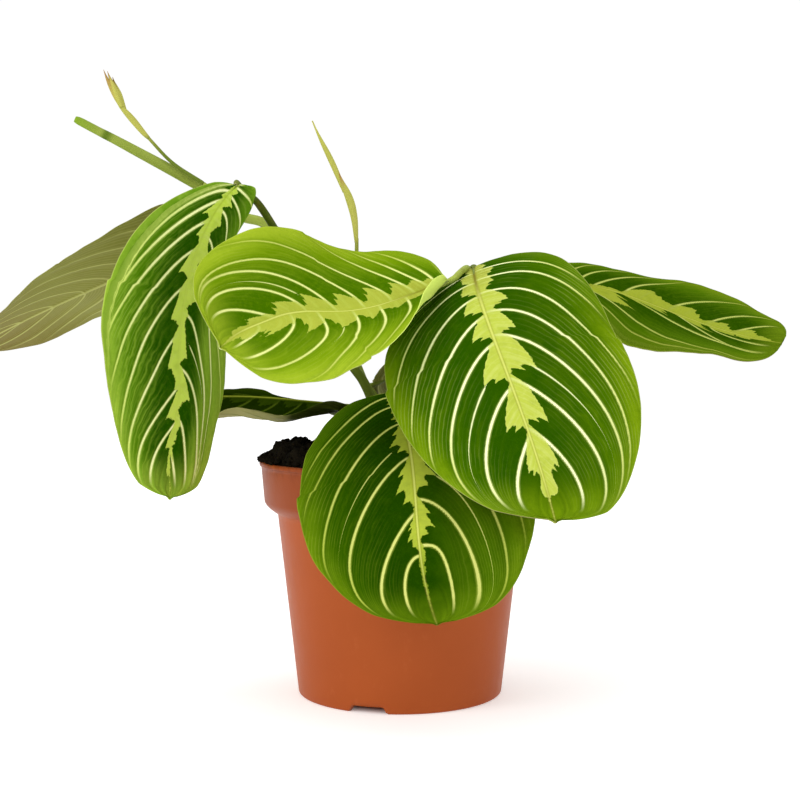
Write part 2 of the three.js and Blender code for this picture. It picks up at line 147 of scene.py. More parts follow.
@dataclass
class Shell:
    """Patches of one piece, gathered in millimetres before its mesh is made."""

    points: list[Array] = field(default_factory=list)
    faces: list[Array] = field(default_factory=list)
    wears: list[int] = field(default_factory=list)
    maps: list[dict[str, Array]] = field(default_factory=list)
    charts: list[Array] = field(default_factory=list)
    count: int = 0

    def add(self, points: Array, faces: Array, maps: dict[str, Array] | None = None,
            wear: int = 0, chart: Array | None = None) -> None:
        """Add one patch.

        Args:
            points: Its points, one row each.
            faces: Point numbers of its faces, one row each.
            maps: Pairs of values at the points, by map name.
            wear: Number of the material that it wears.
            chart: The points' places on the bake layout, in millimetres.
        """
        points = points.reshape(-1, 3)
        self.points.append(points)
        self.faces.append(faces + self.count)
        self.wears.append(wear)
        self.maps.append({name: value.reshape(-1, 2)[faces] for name, value in (maps or {}).items()})
        if chart is not None:
            self.charts.append(chart.reshape(-1, 2)[faces])
        self.count += len(points)

    def add_turned(self, rings: Array, hubs: Pair) -> None:
        """Add a closed surface of rings round the Z axis, with a hub on the axis at both ends.

        Args:
            rings: Points of the rings, one row a ring.
            hubs: Heights of the hubs at the first and the last ring.
        """
        columns = rings.shape[1]
        self.add(rings, grid_faces(len(rings), columns, wrap=True))
        for row, order, level in ((0, -1, hubs[0]), (-1, 1, hubs[1])):
            self.add(np.concatenate([rings[row], [[0.0, 0.0, level]]]), fan_faces(columns)[:, ::order])

    def welded(self) -> tuple[Array, list[Array]]:
        """Join points at equal places.

        Returns:
            The points left, and the faces on them, patch by patch.
        """
        points = np.concatenate(self.points)
        _, first, joined = np.unique(np.round(points, 4), axis=0, return_index=True, return_inverse=True)
        joined = joined.reshape(-1)
        return points[first], [joined[faces] for faces in self.faces]

    def build(self, name: str, materials: list[Material]) -> Object:
        """Make the piece's object.

        Args:
            name: Name of the piece.
            materials: What its patches wear, by number.

        Returns:
            The object, linked to the scene.
        """
        points, faces = self.welded()
        mesh = bpy.data.meshes.new(name)
        mesh.vertices.add(len(points))
        mesh.vertices.foreach_set("co", (points * MM).astype(np.float32).ravel())
        corners = np.concatenate([group.ravel() for group in faces])
        sizes = np.concatenate([np.full(len(group), group.shape[1]) for group in faces])
        mesh.loops.add(len(corners))
        mesh.loops.foreach_set("vertex_index", corners.astype(np.int32))
        mesh.polygons.add(len(sizes))
        mesh.polygons.foreach_set("loop_start", np.r_[0, np.cumsum(sizes)[:-1]].astype(np.int32))
        wears = np.concatenate([np.full(len(group), wear) for group, wear in zip(faces, self.wears)])
        mesh.polygons.foreach_set("material_index", wears.astype(np.int32))
        mesh.polygons.foreach_set("use_smooth", np.full(len(sizes), True))
        mesh.update(calc_edges=True)
        for map_name in self.maps[0]:
            self.write_map(mesh, map_name, [patch[map_name] for patch in self.maps])
        if len(self.charts) == len(self.faces):
            self.write_map(mesh, "OFBake", pack_charts(self.charts))
        for material in materials:
            mesh.materials.append(material)
        piece = bpy.data.objects.new(name, mesh)
        bpy.context.scene.collection.objects.link(piece)
        return piece

    @staticmethod
    def write_map(mesh: Mesh, name: str, patches: list[Array]) -> None:
        """Write one pair of values a corner as a map of the mesh.

        Args:
            mesh: The mesh.
            name: Name of the map.
            patches: The corners' values, patch by patch.
        """
        layer = mesh.uv_layers.new(name=name, do_init=False)
        values = np.concatenate([patch.reshape(-1, 2) for patch in patches])
        layer.uv.foreach_set("vector", values.astype(np.float32).ravel())


def arithmetic(operation: str) -> Callable[..., "Signal"]:
    """A signal's method that adds one arithmetic node, which also takes the method's arguments."""
    return lambda signal, *others: signal.sheet.math(operation, signal, *others)


@dataclass(frozen=True)
class Signal:
    """A number or a colour on its way through a material's nodes."""

    sheet: "NodeSheet"
    socket: NodeSocket

    __add__ = __radd__ = arithmetic("ADD")
    __sub__ = arithmetic("SUBTRACT")
    __mul__ = __rmul__ = arithmetic("MULTIPLY")
    __truediv__ = arithmetic("DIVIDE")
    part = arithmetic("FRACT")
    size = arithmetic("ABSOLUTE")
    least = arithmetic("MINIMUM")
    most = arithmetic("MAXIMUM")

    def __rsub__(self, other: float) -> "Signal":
        """Difference from a plain number."""
        return self.sheet.math("SUBTRACT", other, self)

    def rise(self, low: "Signal | float", high: "Signal | float") -> "Signal":
        """Smooth rise from 0 at low to 1 at high."""
        feeds = {"Value": self, "From Min": low, "From Max": high}
        return self.sheet.node("ShaderNodeMapRange", feeds, "Result", interpolation_type="SMOOTHSTEP")

    def fall(self, low: "Signal | float", high: "Signal | float") -> "Signal":
        """Smooth fall from 1 at low to 0 at high."""
        return 1.0 - self.rise(low, high)


class NodeSheet:
    """One material and the means to wire its nodes."""

    def __init__(self, name: str) -> None:
        """Start a material with one shader.

        Args:
            name: Name of the material.
        """
        self.material = bpy.data.materials.new(name)
        self.material.use_nodes = True
        self.tree = self.material.node_tree
        self.shader = self.tree.nodes["Principled BSDF"]
        self.place: Signal | None = None

    def node(self, kind: str, feeds: dict[int | str, object], out: int | str, **settings: object) -> Signal:
        """Add a node.

        Args:
            kind: Type of the node.
            feeds: What its inputs take, by number or name.
            out: Number or name of the output to go on from.
            **settings: Its properties.

        Returns:
            What comes out there.
        """
        node = self.tree.nodes.new(kind)
        for name, value in settings.items():
            setattr(node, name, value)
        for socket, value in feeds.items():
            self.feed(node.inputs[socket], value)
        return Signal(self, node.outputs[out])

    def feed(self, socket: NodeSocket, value: "Signal | float | tuple") -> None:
        """Link a signal to a socket, or set a plain value on it.

        Args:
            socket: The socket.
            value: What it takes.
        """
        if isinstance(value, Signal):
            self.tree.links.new(value.socket, socket)
        else:
            socket.default_value = value

    def math(self, operation: str, *values: "Signal | float") -> Signal:
        """Result of one arithmetic node."""
        return self.node("ShaderNodeMath", dict(enumerate(values)), 0, operation=operation)

    def pair(self, name: str) -> tuple[Signal, Signal]:
        """Both values of one of the mesh's maps.

        Args:
            name: Name of the map.

        Returns:
            The two values.
        """
        place = self.node("ShaderNodeUVMap", {}, "UV", uv_map=name)
        split = self.node("ShaderNodeSeparateXYZ", {0: place}, "X")
        return split, Signal(self, split.socket.node.outputs["Y"])

    def where(self) -> Signal:
        """Place on the object, in metres."""
        self.place = self.place or self.node("ShaderNodeTexCoord", {}, "Object")
        return self.place

    def noise(self, grain: float, detail: float = 2.0, rough: float = 0.5,
              stretch: Point = (1.0, 1.0, 1.0)) -> Signal:
        """Cloudy noise from 0 to 1, 0.5 on average.

        Args:
            grain: Size of its patches in millimetres.
            detail: Number of finer layers.
            rough: Strength of the finer layers.
            stretch: How much finer it is along each axis.

        Returns:
            The noise.
        """
        scale = tuple(axis / (grain * MM) for axis in stretch)
        place = self.node("ShaderNodeVectorMath", {0: self.where(), 1: scale}, 0, operation="MULTIPLY")
        feeds = {"Vector": place, "Scale": 1.0, "Detail": detail, "Roughness": rough}
        return self.node("ShaderNodeTexNoise", feeds, 0)

    def cells(self, grain: float) -> Signal:
        """Distance to the nearest of many points scattered grain millimetres apart, as a share of that."""
        feeds = {"Vector": self.where(), "Scale": 1 / (grain * MM)}
        return self.node("ShaderNodeTexVoronoi", feeds, "Distance")

    def mixed(self, place: Signal, stops: Stops, values: tuple[Signal, Signal, Signal]) -> Signal:
        """Sum of three values, with weights that follow lines with corners.

        Args:
            place: Where to read the weights, from 0 to 1.
            stops: The lines' corners: place and the three weights there.
            values: The values.

        Returns:
            The sum.
        """
        weights = self.node("ShaderNodeValToRGB", {0: place}, "Color")
        marks = weights.socket.node.color_ramp.elements
        while len(marks) < len(stops):
            marks.new(0.5)
        for mark, (at, shares) in zip(marks, stops):
            mark.position = at
            mark.color = (*shares, 1.0)
        joined = self.node("ShaderNodeCombineXYZ", dict(enumerate(values)), 0)
        return self.node("ShaderNodeVectorMath", {0: weights, 1: joined}, "Value", operation="DOT_PRODUCT")

    def blend(self, share: "Signal | float", low: "Signal | Colour", high: "Signal | Colour") -> Signal:
        """Mix of two colours, with a share of the second."""
        low, high = (value if isinstance(value, Signal) else paint(value) for value in (low, high))
        return self.node("ShaderNodeMix", {0: share, 6: low, 7: high}, 2, data_type="RGBA")

    def coat(self, ground: "Signal | Colour", *layers: tuple["Signal | float", "Signal | Colour"]) -> Signal:
        """A ground colour with thin layers of others over it.

        Args:
            ground: The ground colour.
            *layers: How much of each layer shows, and its colour.

        Returns:
            The colour on top.
        """
        for share, colour in layers:
            ground = self.blend(share, ground, colour)
        return ground

    def finish(self, colour: Signal, roughness: "Signal | float", height: Signal | None = None,
               depth: float = 0.1, **sockets: float) -> Material:
        """Feed the shader.

        Args:
            colour: Surface colour.
            roughness: Roughness, or one number for the whole surface.
            height: Fine relief, from 0 to 1.
            depth: Height of that relief in millimetres.
            **sockets: Plain values of other sockets, with _ for each space.

        Returns:
            The finished material.
        """
        self.feed(self.shader.inputs["Base Color"], colour)
        self.feed(self.shader.inputs["Roughness"], roughness)
        if height is not None:
            bump = self.node("ShaderNodeBump", {"Distance": depth * MM, "Height": height}, "Normal")
            self.feed(self.shader.inputs["Normal"], bump)
        for name, value in sockets.items():
            self.shader.inputs[name.replace("_", " ")].default_value = value
        return self.material


WHITE = (1.0, 1.0, 1.0, 1.0)

# Reflections of blades, tinted as a waxy green skin tints them
GREEN_SHEEN = (0.8, 1.0, 0.45, 1.0)

# Weights of a tooth's reach at its vein, its tip and the sinus after it, from one side vein to the next
BROAD_EDGE = (
    (0, (1, 0, 0)), (0.12, (0.85, 0.15, 0)), (0.28, (0.5, 0.5, 0)), (0.45, (0.18, 0.82, 0)),
    (0.62, (0, 0.97, 0)), (0.68, (0, 1, 0)), (0.72, (0, 0.6, 0.4)), (0.76, (0, 0.45, 0.55)),
    (0.79, (0, 0.58, 0.42)), (0.84, (0, 0.12, 0.88)), (0.93, (0, 0, 1)), (1, (1, 0, 0)),
)

# The same with a small tooth before and after the tip
JAGGED_EDGE = (
    (0, (1, 0, 0)), (0.14, (0.8, 0.2, 0)), (0.34, (0.25, 0.75, 0)), (0.38, (0.3, 0.45, 0.1)),
    (0.5, (0.15, 0.6, 0)), (0.68, (0, 1, 0)), (0.71, (0, 0.55, 0.35)), (0.76, (0, 0.42, 0.5)),
    (0.83, (0, 0.6, 0.4)), (0.86, (0, 0.2, 0.8)), (0.94, (0, 0, 1)), (1, (1, 0, 0)),
)

# The same without notches, and flared at the vein
SOFT_EDGE = (
    (0, (1, 0, 0)), (0.08, (0.72, 0.1, 0.1)), (0.2, (0.38, 0.35, 0.05)), (0.42, (0.12, 0.68, 0)),
    (0.6, (0, 0.94, 0)), (0.69, (0, 1, 0)), (0.74, (0, 0.66, 0.3)), (0.8, (0, 0.42, 0.55)),
    (0.9, (0.12, 0, 0.85)), (1, (1, 0, 0)),
)

# Number that every half's last side vein has on the map, so that none is drawn past it
LAST_VEIN = 20.0


def place_piece(piece: Object, node: str) -> None:
    """Let a piece ride on the root body in place of a CAD node.

    Args:
        piece: The piece.
        node: The node that it stands for.
    """
    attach(piece, "root")
    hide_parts(node)
    LOG.info("%s: %d faces, stands for %s", piece.name, len(piece.data.polygons), node)


@dataclass(frozen=True)
class BladeShape:
    """Form of one blade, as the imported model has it.

    Attributes:
        rib: Control points of the midrib's cubic curve, from base to tip.
        across: Directions to the right side at base, middle and tip.
        half_width: Widest half width of the left and right side.
        widest: Place of the widest section along the rib.
        base_round: Roundness of the outline below the widest section.
        tip_round: Roundness of the outline above it.
        fold: Slope of each side at the rib, in degrees.
        curl: Bend of each side over its half width, in degrees.
        lobe: How far the base lobes reach back past the petiole.
        wave: Height of each margin's waves.
        waves: Number of waves along the rib.
        phase: Where each margin's waves start.
        roll: Extra bend of each margin near the base, in degrees.
        apex: Length of the pointed tip, as a share.
        point: Its half width, as a share of the widest.
    """

    rib: tuple[Point, Point, Point, Point]
    across: tuple[Point, Point, Point]
    half_width: Pair
    widest: float
    base_round: float
    tip_round: float
    fold: Pair
    curl: Pair
    lobe: float
    wave: Pair = (0.0, 0.0)
    waves: float = 1.5
    phase: Pair = (0.0, 0.0)
    roll: Pair = (0.0, 0.0)
    apex: float = 0.02
    point: float = 0.24

    def profile(self, s: Array) -> Array:
        """Outline of the blade, with a short point at the tip.

        Args:
            s: Places along the rib, from 0 to 1.

        Returns:
            Half widths as shares of the widest.
        """
        end = 1 - self.apex / 2
        low = np.clip((self.widest - s) / self.widest, 0, None)
        high = np.clip((s - self.widest) / (end - self.widest), 0, 1)
        lower = np.clip(1 - low ** 2, 0, None) ** self.base_round
        upper = np.clip(1 - high ** 2, 0, None) ** self.tip_round
        point = 0.0 * s
        if self.apex > 0:
            point = np.where(s > self.widest, self.point * np.minimum(1, (1 - s) / (2 * self.apex)), 0)
        return np.sqrt(np.where(s < self.widest, lower, upper) ** 2 + point ** 2)

    def spine(self, s: Array) -> tuple[Array, Array, Array, Array, float]:
        """The rib and its directions.

        Args:
            s: Places along the rib, from 0 to 1.

        Returns:
            Points, directions along, across and out of the upper face, and the rib's length.
        """
        a, b, c, d = (np.array(point, float) for point in self.rib)

        def curve(u: Array) -> Array:
            """Points of the cubic curve."""
            return (1 - u) ** 3 * a + 3 * (1 - u) ** 2 * u * b + 3 * (1 - u) * u * u * c + u ** 3 * d

        steps = np.linspace(0, 1, 401)
        gone = np.r_[0, np.cumsum(np.linalg.norm(np.diff(curve(steps[:, None]), axis=0), axis=1))]
        u = np.interp(s, gone / gone[-1], steps)[..., None]
        along = unit((1 - u) ** 2 * (b - a) + 2 * (1 - u) * u * (c - b) + u * u * (d - c))
        turns = unit(np.array(self.across, float))
        v = np.asarray(s)[..., None]
        early, late = (1 - v) * (1 - 2 * v), v * (2 * v - 1)
        across = unit(turns[0] * early + turns[1] * 4 * v * (1 - v) + turns[2] * late)
        return curve(u), along, across, unit(np.cross(across, along)), float(gone[-1])

    def widths(self, s: Array, side: Array) -> Array:
        """Half width at s in millimetres on side 0 or 1."""
        half = np.array(self.half_width)[side]
        return np.maximum(self.profile(s) * half, np.where(s < 0.5, 1.3, 0.5))

    def surface(self, s: Array, q: Array) -> Array:
        """Points of the blade's middle surface.

        Args:
            s: Places along the rib, from 0 to 1.
            q: Places across, from -1 at the left margin to 1 at the right.

        Returns:
            The points in millimetres.
        """
        side = (q >= 0).astype(int)
        share = np.abs(q)
        half = self.widths(s, side)
        width = half / np.array(self.half_width)[side]
        fold, curl, roll, wave, phase = (
            np.array(value)[side] for value in (self.fold, self.curl, self.roll, self.wave, self.phase)
        )
        rolled = roll * np.clip(1 - s / 0.45, 0, None) ** 2
        out = np.zeros_like(s)
        up = np.zeros_like(s)
        steps = 16
        for step in range(steps):
            part = share * (step + 0.5) / steps
            bend = np.radians(fold + curl * width * part + rolled * part ** 3)
            out += np.cos(bend) / steps
            up -= np.sin(bend) / steps
        ripple = wave * q * q * width * np.sin(2 * np.pi * (self.waves * s + phase))
        back = self.lobe * q * q * (1 - s) ** 5 * np.clip((width - 0.05) / 0.3, 0, 1)
        middle, along, across, face, _ = self.spine(s)
        middle = middle + across * (np.sign(q) * out * share * half)[..., None]
        return middle + face * (up * share * half + ripple)[..., None] - along * back[..., None]

    def petiole_end(self, lead: float = 3.5, drop: float = 1.1) -> list[Array]:
        """Last points of the petiole, which runs on under the rib.

        Args:
            lead: Distance before the blade at which they start, in millimetres.
            drop: Distance of the first below the rib, in millimetres.

        Returns:
            The points.
        """
        start, along, _, face, _ = self.spine(np.zeros(1))
        places = ((-lead, drop), (-lead / 3.5, 1.1), (3.0, 1.0), (9.0, 0.7))
        return [start[0] + along[0] * far - face[0] * under for far, under in places]


@dataclass(frozen=True)
class BladeHalf:
    """Veins and lime band of one half of a blade, from the base to the tip.

    A place is given along the rib and across, both from 0 to 1. A side vein leaves the midrib squarely and
    bends towards the tip.

    Attributes:
        veins: Rows of a side vein's start along the rib, a place that it passes and a place further out.
        teeth: Rows of the band's reach across at a vein, its tooth's tip and its reach before the next vein.
        minor: A short extra vein: a place that it passes, and how far across it begins and has faded.
    """

    veins: tuple[tuple[float, float, float, float, float], ...]
    teeth: tuple[tuple[float, float, float, float], ...]
    minor: tuple[float, float, float, float] | None = None


@dataclass(frozen=True)
class Pattern:
    """Veins and lime band of a blade.

    Attributes:
        meander: Places where the midrib strays from the blade's middle line: along the rib and across.
        band_end: Where, along the rib, the band begins to narrow and is gone.
    """

    left: BladeHalf
    right: BladeHalf
    meander: tuple[Pair, ...] = ((0.0, 0.0), (1.0, 0.0))
    band_end: Pair = (0.88, 0.98)

    def stray(self, s: Array | float) -> Array:
        """How far the midrib strays from the middle line.

        Args:
            s: Places along the rib.

        Returns:
            Shares of the half width, positive to the right.
        """
        places, strays = np.array(self.meander).T
        fine = np.linspace(0, 1, 101)
        line = np.interp(fine, places, strays)
        soft = np.convolve(np.pad(line, 4, mode="edge"), np.full(9, 1 / 9), mode="valid")
        return np.interp(s, fine, soft)

    def across(self, place: float, share: float, sign: int) -> float:
        """Share from midrib to margin of a share of the half width, on the left half if sign is -1."""
        stray = float(self.stray(place)) * sign
        return max((share - stray) / (1 - stray), 0.001)


@dataclass
class PatternField:
    """Values that carry a blade's pattern, at each point of one half of its grid.

    Attributes:
        number: 0 for the left half, 1 for the right.
        tip_at: Place of a tooth's tip between its veins, on the map.
    """

    shape: BladeShape
    pattern: Pattern
    number: int
    tip_at: float = 0.68

    @property
    def half(self) -> BladeHalf:
        """The half's veins and teeth."""
        return self.pattern.right if self.number else self.pattern.left

    @property
    def sign(self) -> int:
        """-1 on the left half, 1 on the right."""
        return 1 if self.number else -1

    def courses(self, share: Array) -> Array:
        """Where each vein, and one more after the last, is at each share across.

        Args:
            share: Shares from the midrib to the margin.

        Returns:
            Places along the rib, one row a vein, always rising from vein to vein.
        """
        rows = []
        for start, near_s, near_q, far_s, far_q in self.half.veins:
            near_q = self.pattern.across(near_s, near_q, self.sign)
            far_q = self.pattern.across(far_s, far_q, self.sign)
            power = math.log((far_s - start) / (near_s - start)) / math.log(far_q / near_q)
            power = min(max(power, 1.0), 6.0)
            reach = (far_s - start) / far_q ** power
            rows.append(start + reach * share ** power)
        rows.append(rows[-1] + np.maximum((rows[-1] - rows[-2]) * 0.8, 0.09))
        courses = np.array(rows)
        for row in range(1, len(courses)):
            courses[row] = np.maximum(courses[row], courses[row - 1] + 0.012)
        return courses

    def knots(self, share: Array) -> tuple[Array, Array, Array]:
        """Places along the rib at which the vein count is known, at each share across.

        Args:
            share: Shares from the midrib to the margin.

        Returns:
            Counts, places, one row a count, and starts on the rib.
        """
        courses = self.courses(share)
        starts = [vein[0] for vein in self.half.veins]
        starts.append(starts[-1] + 0.1)
        gap = np.maximum(courses[1] - courses[0], 0.03)
        rows = [(-step, courses[0] - gap * step * 0.8, starts[0] - 0.07 * step) for step in range(8, 0, -1)]
        for index, course in enumerate(courses):
            rows.append((index, course, starts[index]))
            if index + 1 < len(courses):
                share_at = self.tip_share(index)
                place = course + (courses[index + 1] - course) * share_at
                root = starts[index] + (starts[index + 1] - starts[index]) * share_at
                rows.append((index + self.tip_at, place, root))
        last = len(courses) - 1
        rows += [(last + step, courses[-1] + 0.07 * step, starts[-1] + 0.08 * step) for step in range(1, 7)]
        counts, places, roots = zip(*rows)
        return np.array(counts, float), np.array(places), np.array(roots)

    def tip_share(self, index: int) -> float:
        """Where a tooth's tip lies between its two veins.

        Args:
            index: Number of the tooth.

        Returns:
            The place, from 0 at the first vein to 1 at the next.
        """
        _, tip_s, tip_q, _ = self.half.teeth[index]
        across = np.array([self.pattern.across(tip_s, tip_q, self.sign)])
        courses = self.courses(across)[:, 0]
        share = (tip_s - courses[index]) / (courses[index + 1] - courses[index])
        return min(max(float(share), 0.35), 0.85)

    def band(self, counts: Array) -> tuple[Array, Array, Array]:
        """Reach of the band at vein, tip and sinus, as shares across, at each vein count.

        Args:
            counts: Vein counts.

        Returns:
            The three reaches.
        """
        teeth = self.half.teeth
        places = np.arange(len(teeth)) + 0.5
        ends = np.stack([places - 0.42, places + 0.42], 1).ravel()
        reaches = []
        for column in (0, 2, 3):
            shares = [self.pattern.across(tooth[1], tooth[column], self.sign) for tooth in teeth]
            reaches.append(np.interp(counts, ends, np.repeat(shares, 2)))
        return tuple(reaches)

    def maps(self, s: Array, share: Array, middle: Array) -> dict[str, Array]:
        """The values of this half of the blade.

        Args:
            s: Places along the rib.
            share: Shares across, from 0 at the midrib to 1 at the margin.
            middle: The half's points, from the midrib outwards.

        Returns:
            Pairs of values by map name.
        """
        counts, places, roots = self.knots(share)
        veins = np.empty((len(s), len(share)))
        start = np.empty_like(veins)
        for column in range(len(share)):
            veins[:, column] = np.interp(s, places[:, column], counts)
            start[:, column] = np.interp(s, places[:, column], roots)
        stray = self.pattern.stray(s) * self.sign
        half = (self.shape.widths(s, np.full(len(s), self.number)) * (1 - stray))[:, None]
        along = np.gradient(middle, s, axis=0)
        across = np.gradient(middle, share, axis=1)
        slope_s = np.gradient(veins, s, axis=0)
        slope_q = np.gradient(veins, share, axis=1)
        ss, sq, qq = ((one * two).sum(-1) for one, two in ((along, along), (along, across), (across, across)))
        steep = qq * slope_s ** 2 - 2 * sq * slope_s * slope_q + ss * slope_q ** 2
        steep = steep / (ss * qq - sq * sq + 1e-6)
        gap = np.clip(1 / np.sqrt(np.maximum(steep, 1e-6)), 0.8, 30)
        ending = half * (1 - 0.95 * ease(s, *self.pattern.band_end))[:, None]
        leave, tip, sinus = (reach * ending for reach in self.band(veins))
        from_rib = half * share
        last = len(self.half.veins) - 1.0
        shown = np.clip(veins, -0.5, last + 1.9) + LAST_VEIN - last
        return {
            "Blade": np.stack(np.broadcast_arrays(s[:, None], start), -1),
            "Reach": np.stack([from_rib * self.sign, half - from_rib], -1),
            "Veins": np.stack([shown, gap], -1),
            "Marks": np.stack([self.minor_distance(veins, share, gap), leave], -1),
            "Band": np.stack([tip, sinus], -1),
        }

    def minor_distance(self, veins: Array, share: Array, gap: Array) -> Array:
        """Distance in millimetres to the short vein, scaled up where it thins out.

        Args:
            veins: Vein counts.
            share: Shares across, one for each column.
            gap: Millimetres for each vein count.

        Returns:
            The distances, negative on the side towards the base.
        """
        if self.half.minor is None:
            return np.full_like(veins, 9.0)
        place, read, begin, fade = self.half.minor
        across = self.pattern.across(place, read, self.sign)
        counts, places, _ = self.knots(np.array([across]))
        off = (veins - np.interp(place, places[:, 0], counts)) * gap
        seen = ease(share, begin - 0.03, begin + 0.02) * (1 - ease(share, begin, fade))
        return off / np.maximum(seen, 0.02)


@dataclass(frozen=True)
class LeafFinish:
    """Colours of one blade.

    The green runs from dark beside the lime band over middle to margin. A colour named base holds near the
    petiole.

    Attributes:
        hem_painted_light: Underside along the lower margin, if it differs, painted pale as light shining
            through a rolled margin.
        vein_half: Half width of a vein's core in millimetres.
        feather: Strength of the light streaks between the veins.
        spread: Where, across, the margin's colour begins and is full.
        turn: Where, along, the underside's tip colour begins and is full.
        lean: How far the left and right half lean to the margin's colour.
        lean_spread: Where, across, that lean begins and is full.
        edge: Outline of the lime band's teeth.
        band_fade: How far the lime band and the midrib turn green towards the tip.
        sunk: How far the veins are lost in the lime band.
        seam: Strength of the dark line along the midrib.
        rib_show: Strength of the midrib.
    """

    dark: Colour
    middle: Colour
    margin: Colour
    band: Colour
    band_base: Colour
    vein: Colour = (240, 245, 190)
    vein_edge: Colour = (198, 208, 110)
    rib: Colour = (205, 212, 105)
    rib_base: Colour = (120, 112, 40)
    under: Colour = (145, 147, 88)
    under_tip: Colour = (130, 118, 82)
    under_vein: Colour = (178, 180, 112)
    hem_painted_light: Colour | None = None
    vein_half: float = 0.54
    feather: float = 0.25
    spread: Pair = (0.68, 1.04)
    turn: Pair = (0.45, 1.0)
    lean: Pair = (0.0, 0.0)
    lean_spread: Pair = (0.02, 0.5)
    edge: Stops = BROAD_EDGE
    band_fade: float = 0.0
    sunk: float = 0.7
    seam: float = 0.35
    rib_show: float = 0.85

    def upper(self, name: str) -> Material:
        """Material of the upper face.

        Args:
            name: Name of the material.

        Returns:
            The material.
        """
        sheet = NodeSheet(name)
        s, start = sheet.pair("Blade")
        reach, to_margin = sheet.pair("Reach")
        veins, gap = sheet.pair("Veins")
        minor, leave = sheet.pair("Marks")
        tip, sinus = sheet.pair("Band")
        from_rib, minor = reach.size(), minor.size()
        share = from_rib / (from_rib + to_margin)
        part = veins.part()
        off = part.least(1.0 - part) * gap
        wander, broad = sheet.noise(1.8, 3.0), sheet.noise(8.0, 2.0)
        jag, cells = sheet.noise(1.1, 3.0, 0.6), sheet.noise(0.45, 2.0, 0.6)

        # Side veins and the fine lines between them
        core_half = self.vein_half - 0.26 * share.rise(0.5, 1.0) + (wander - 0.5) * 0.2
        ends = share.fall(0.84, 0.99) * s.fall(0.9, 0.97) * veins.fall(LAST_VEIN + 0.45, LAST_VEIN + 0.55)
        core = (off.fall(core_half * 0.6, core_half * 1.1) * ends).most(minor.fall(0.12, 0.4) * 0.85)
        halo = (off.fall(core_half, core_half * 2.0) * ends).most(minor.fall(0.25, 0.8) * 0.5)
        fine = ((start * 56.0 + (broad - 0.5) * 0.7).part() - 0.5).size().fall(0.02, 0.2)
        fine = fine * sheet.noise(14.0).rise(0.3, 0.65)
        streak = ((start * 23.0 + (broad - 0.5) * 2.0).part() - 0.5).size() * 2.0

        # Green ground
        lean = reach.rise(-0.5, 0.5) * (self.lean[1] - self.lean[0]) + self.lean[0]
        lean = lean * share.rise(*self.lean_spread) * (0.2 + s.rise(0.12, 0.55) * 0.8)
        outer = (share.rise(*self.spread) * (0.35 + s.rise(0.1, 0.6) * 0.65)).most(s.rise(0.84, 1.0) * 0.8)
        outer = outer + (broad - 0.5) * 0.25 + lean * 0.6
        feather = self.feather * share.rise(0.1, 0.6) * (0.3 + s.rise(0.1, 0.5) * 0.7)
        green = sheet.coat(
            self.dark,
            ((share.rise(0.3, 0.9) + lean).least(1.0), self.middle),
            (outer.most(0.0).least(1.0), self.margin),
            ((streak - 0.45).most(0.0) * feather, self.margin),
            ((wander - 0.45).most(0.0) * 0.7 + (cells - 0.5).most(0.0) * 0.5, self.middle),
            ((0.5 - cells).most(0.0) * 0.6, self.dark),
            (fine * (0.08 * share.rise(0.1, 0.45) + 0.11 * share.rise(0.4, 0.9)), self.vein_edge),
            (off.fall(core_half * 1.2, 3.0) * off.rise(0.0, core_half * 1.6) * 0.25, self.dark),
        )

        # Lime band and its teeth
        edge = sheet.mixed(part, self.edge, (leave, tip, sinus))
        band = (edge + (wander - 0.5) * 1.6 + (jag - 0.5) * 1.6 - from_rib).rise(-0.25, 0.25)
        ray = ((part - 0.66).size() * gap).fall(0.1, 1.1).most(off.fall(0.2, 1.2) * 0.8)
        lime = sheet.coat(
            self.band,
            (s.fall(0.0, 0.34), self.band_base),
            ((wander - 0.5).most(0.0) * 1.3 + fine * 0.4, self.vein_edge),
            ((0.5 - sheet.noise(5.0, 3.0)).most(0.0) * 0.7, self.middle),
            (ray * from_rib.rise(0.6, 3.0) * 0.4, self.vein_edge),
            ((edge - from_rib).fall(0.0, 1.2) * 0.22, self.vein_edge),
            (s.rise(0.68, 0.88) * self.band_fade, self.margin),
        )

        # Veins and midrib over both
        pale = sheet.blend(share.rise(0.4, 0.95), self.vein, self.vein_edge)
        pale = sheet.blend(band * self.sunk, pale, self.vein_edge)
        rib_half = 0.62 - 0.3 * s
        shown = (1.0 - s.rise(0.82, 0.96) * 0.75) * (1.0 - s.rise(0.68, 0.84) * self.band_fade * 0.7)
        colour = sheet.coat(
            green,
            (band, lime),
            (halo * 0.4, self.vein_edge),
            (core * (1.0 - band * self.sunk * from_rib.fall(1.0, 6.0)), pale),
            (to_margin.fall(0.15, 0.5) * 0.4, self.vein_edge),
            (from_rib.fall(rib_half, rib_half * 2.4) * self.seam, self.rib_base),
            (from_rib.fall(rib_half * 0.5, rib_half * 1.1) * (shown * self.rib_show),
             sheet.blend(s.fall(0.1, 0.32), self.rib, self.rib_base)),
        )
        height = off.rise(0.0, 1.4) * 0.5 + fine * 0.1 + streak * 0.14 + wander * 0.25 + cells * 0.12
        rough = 0.42 + (broad - 0.5) * 0.16
        return sheet.finish(colour, rough, height, 0.22, Specular_IOR_Level=0.0, Specular_Tint=GREEN_SHEEN)

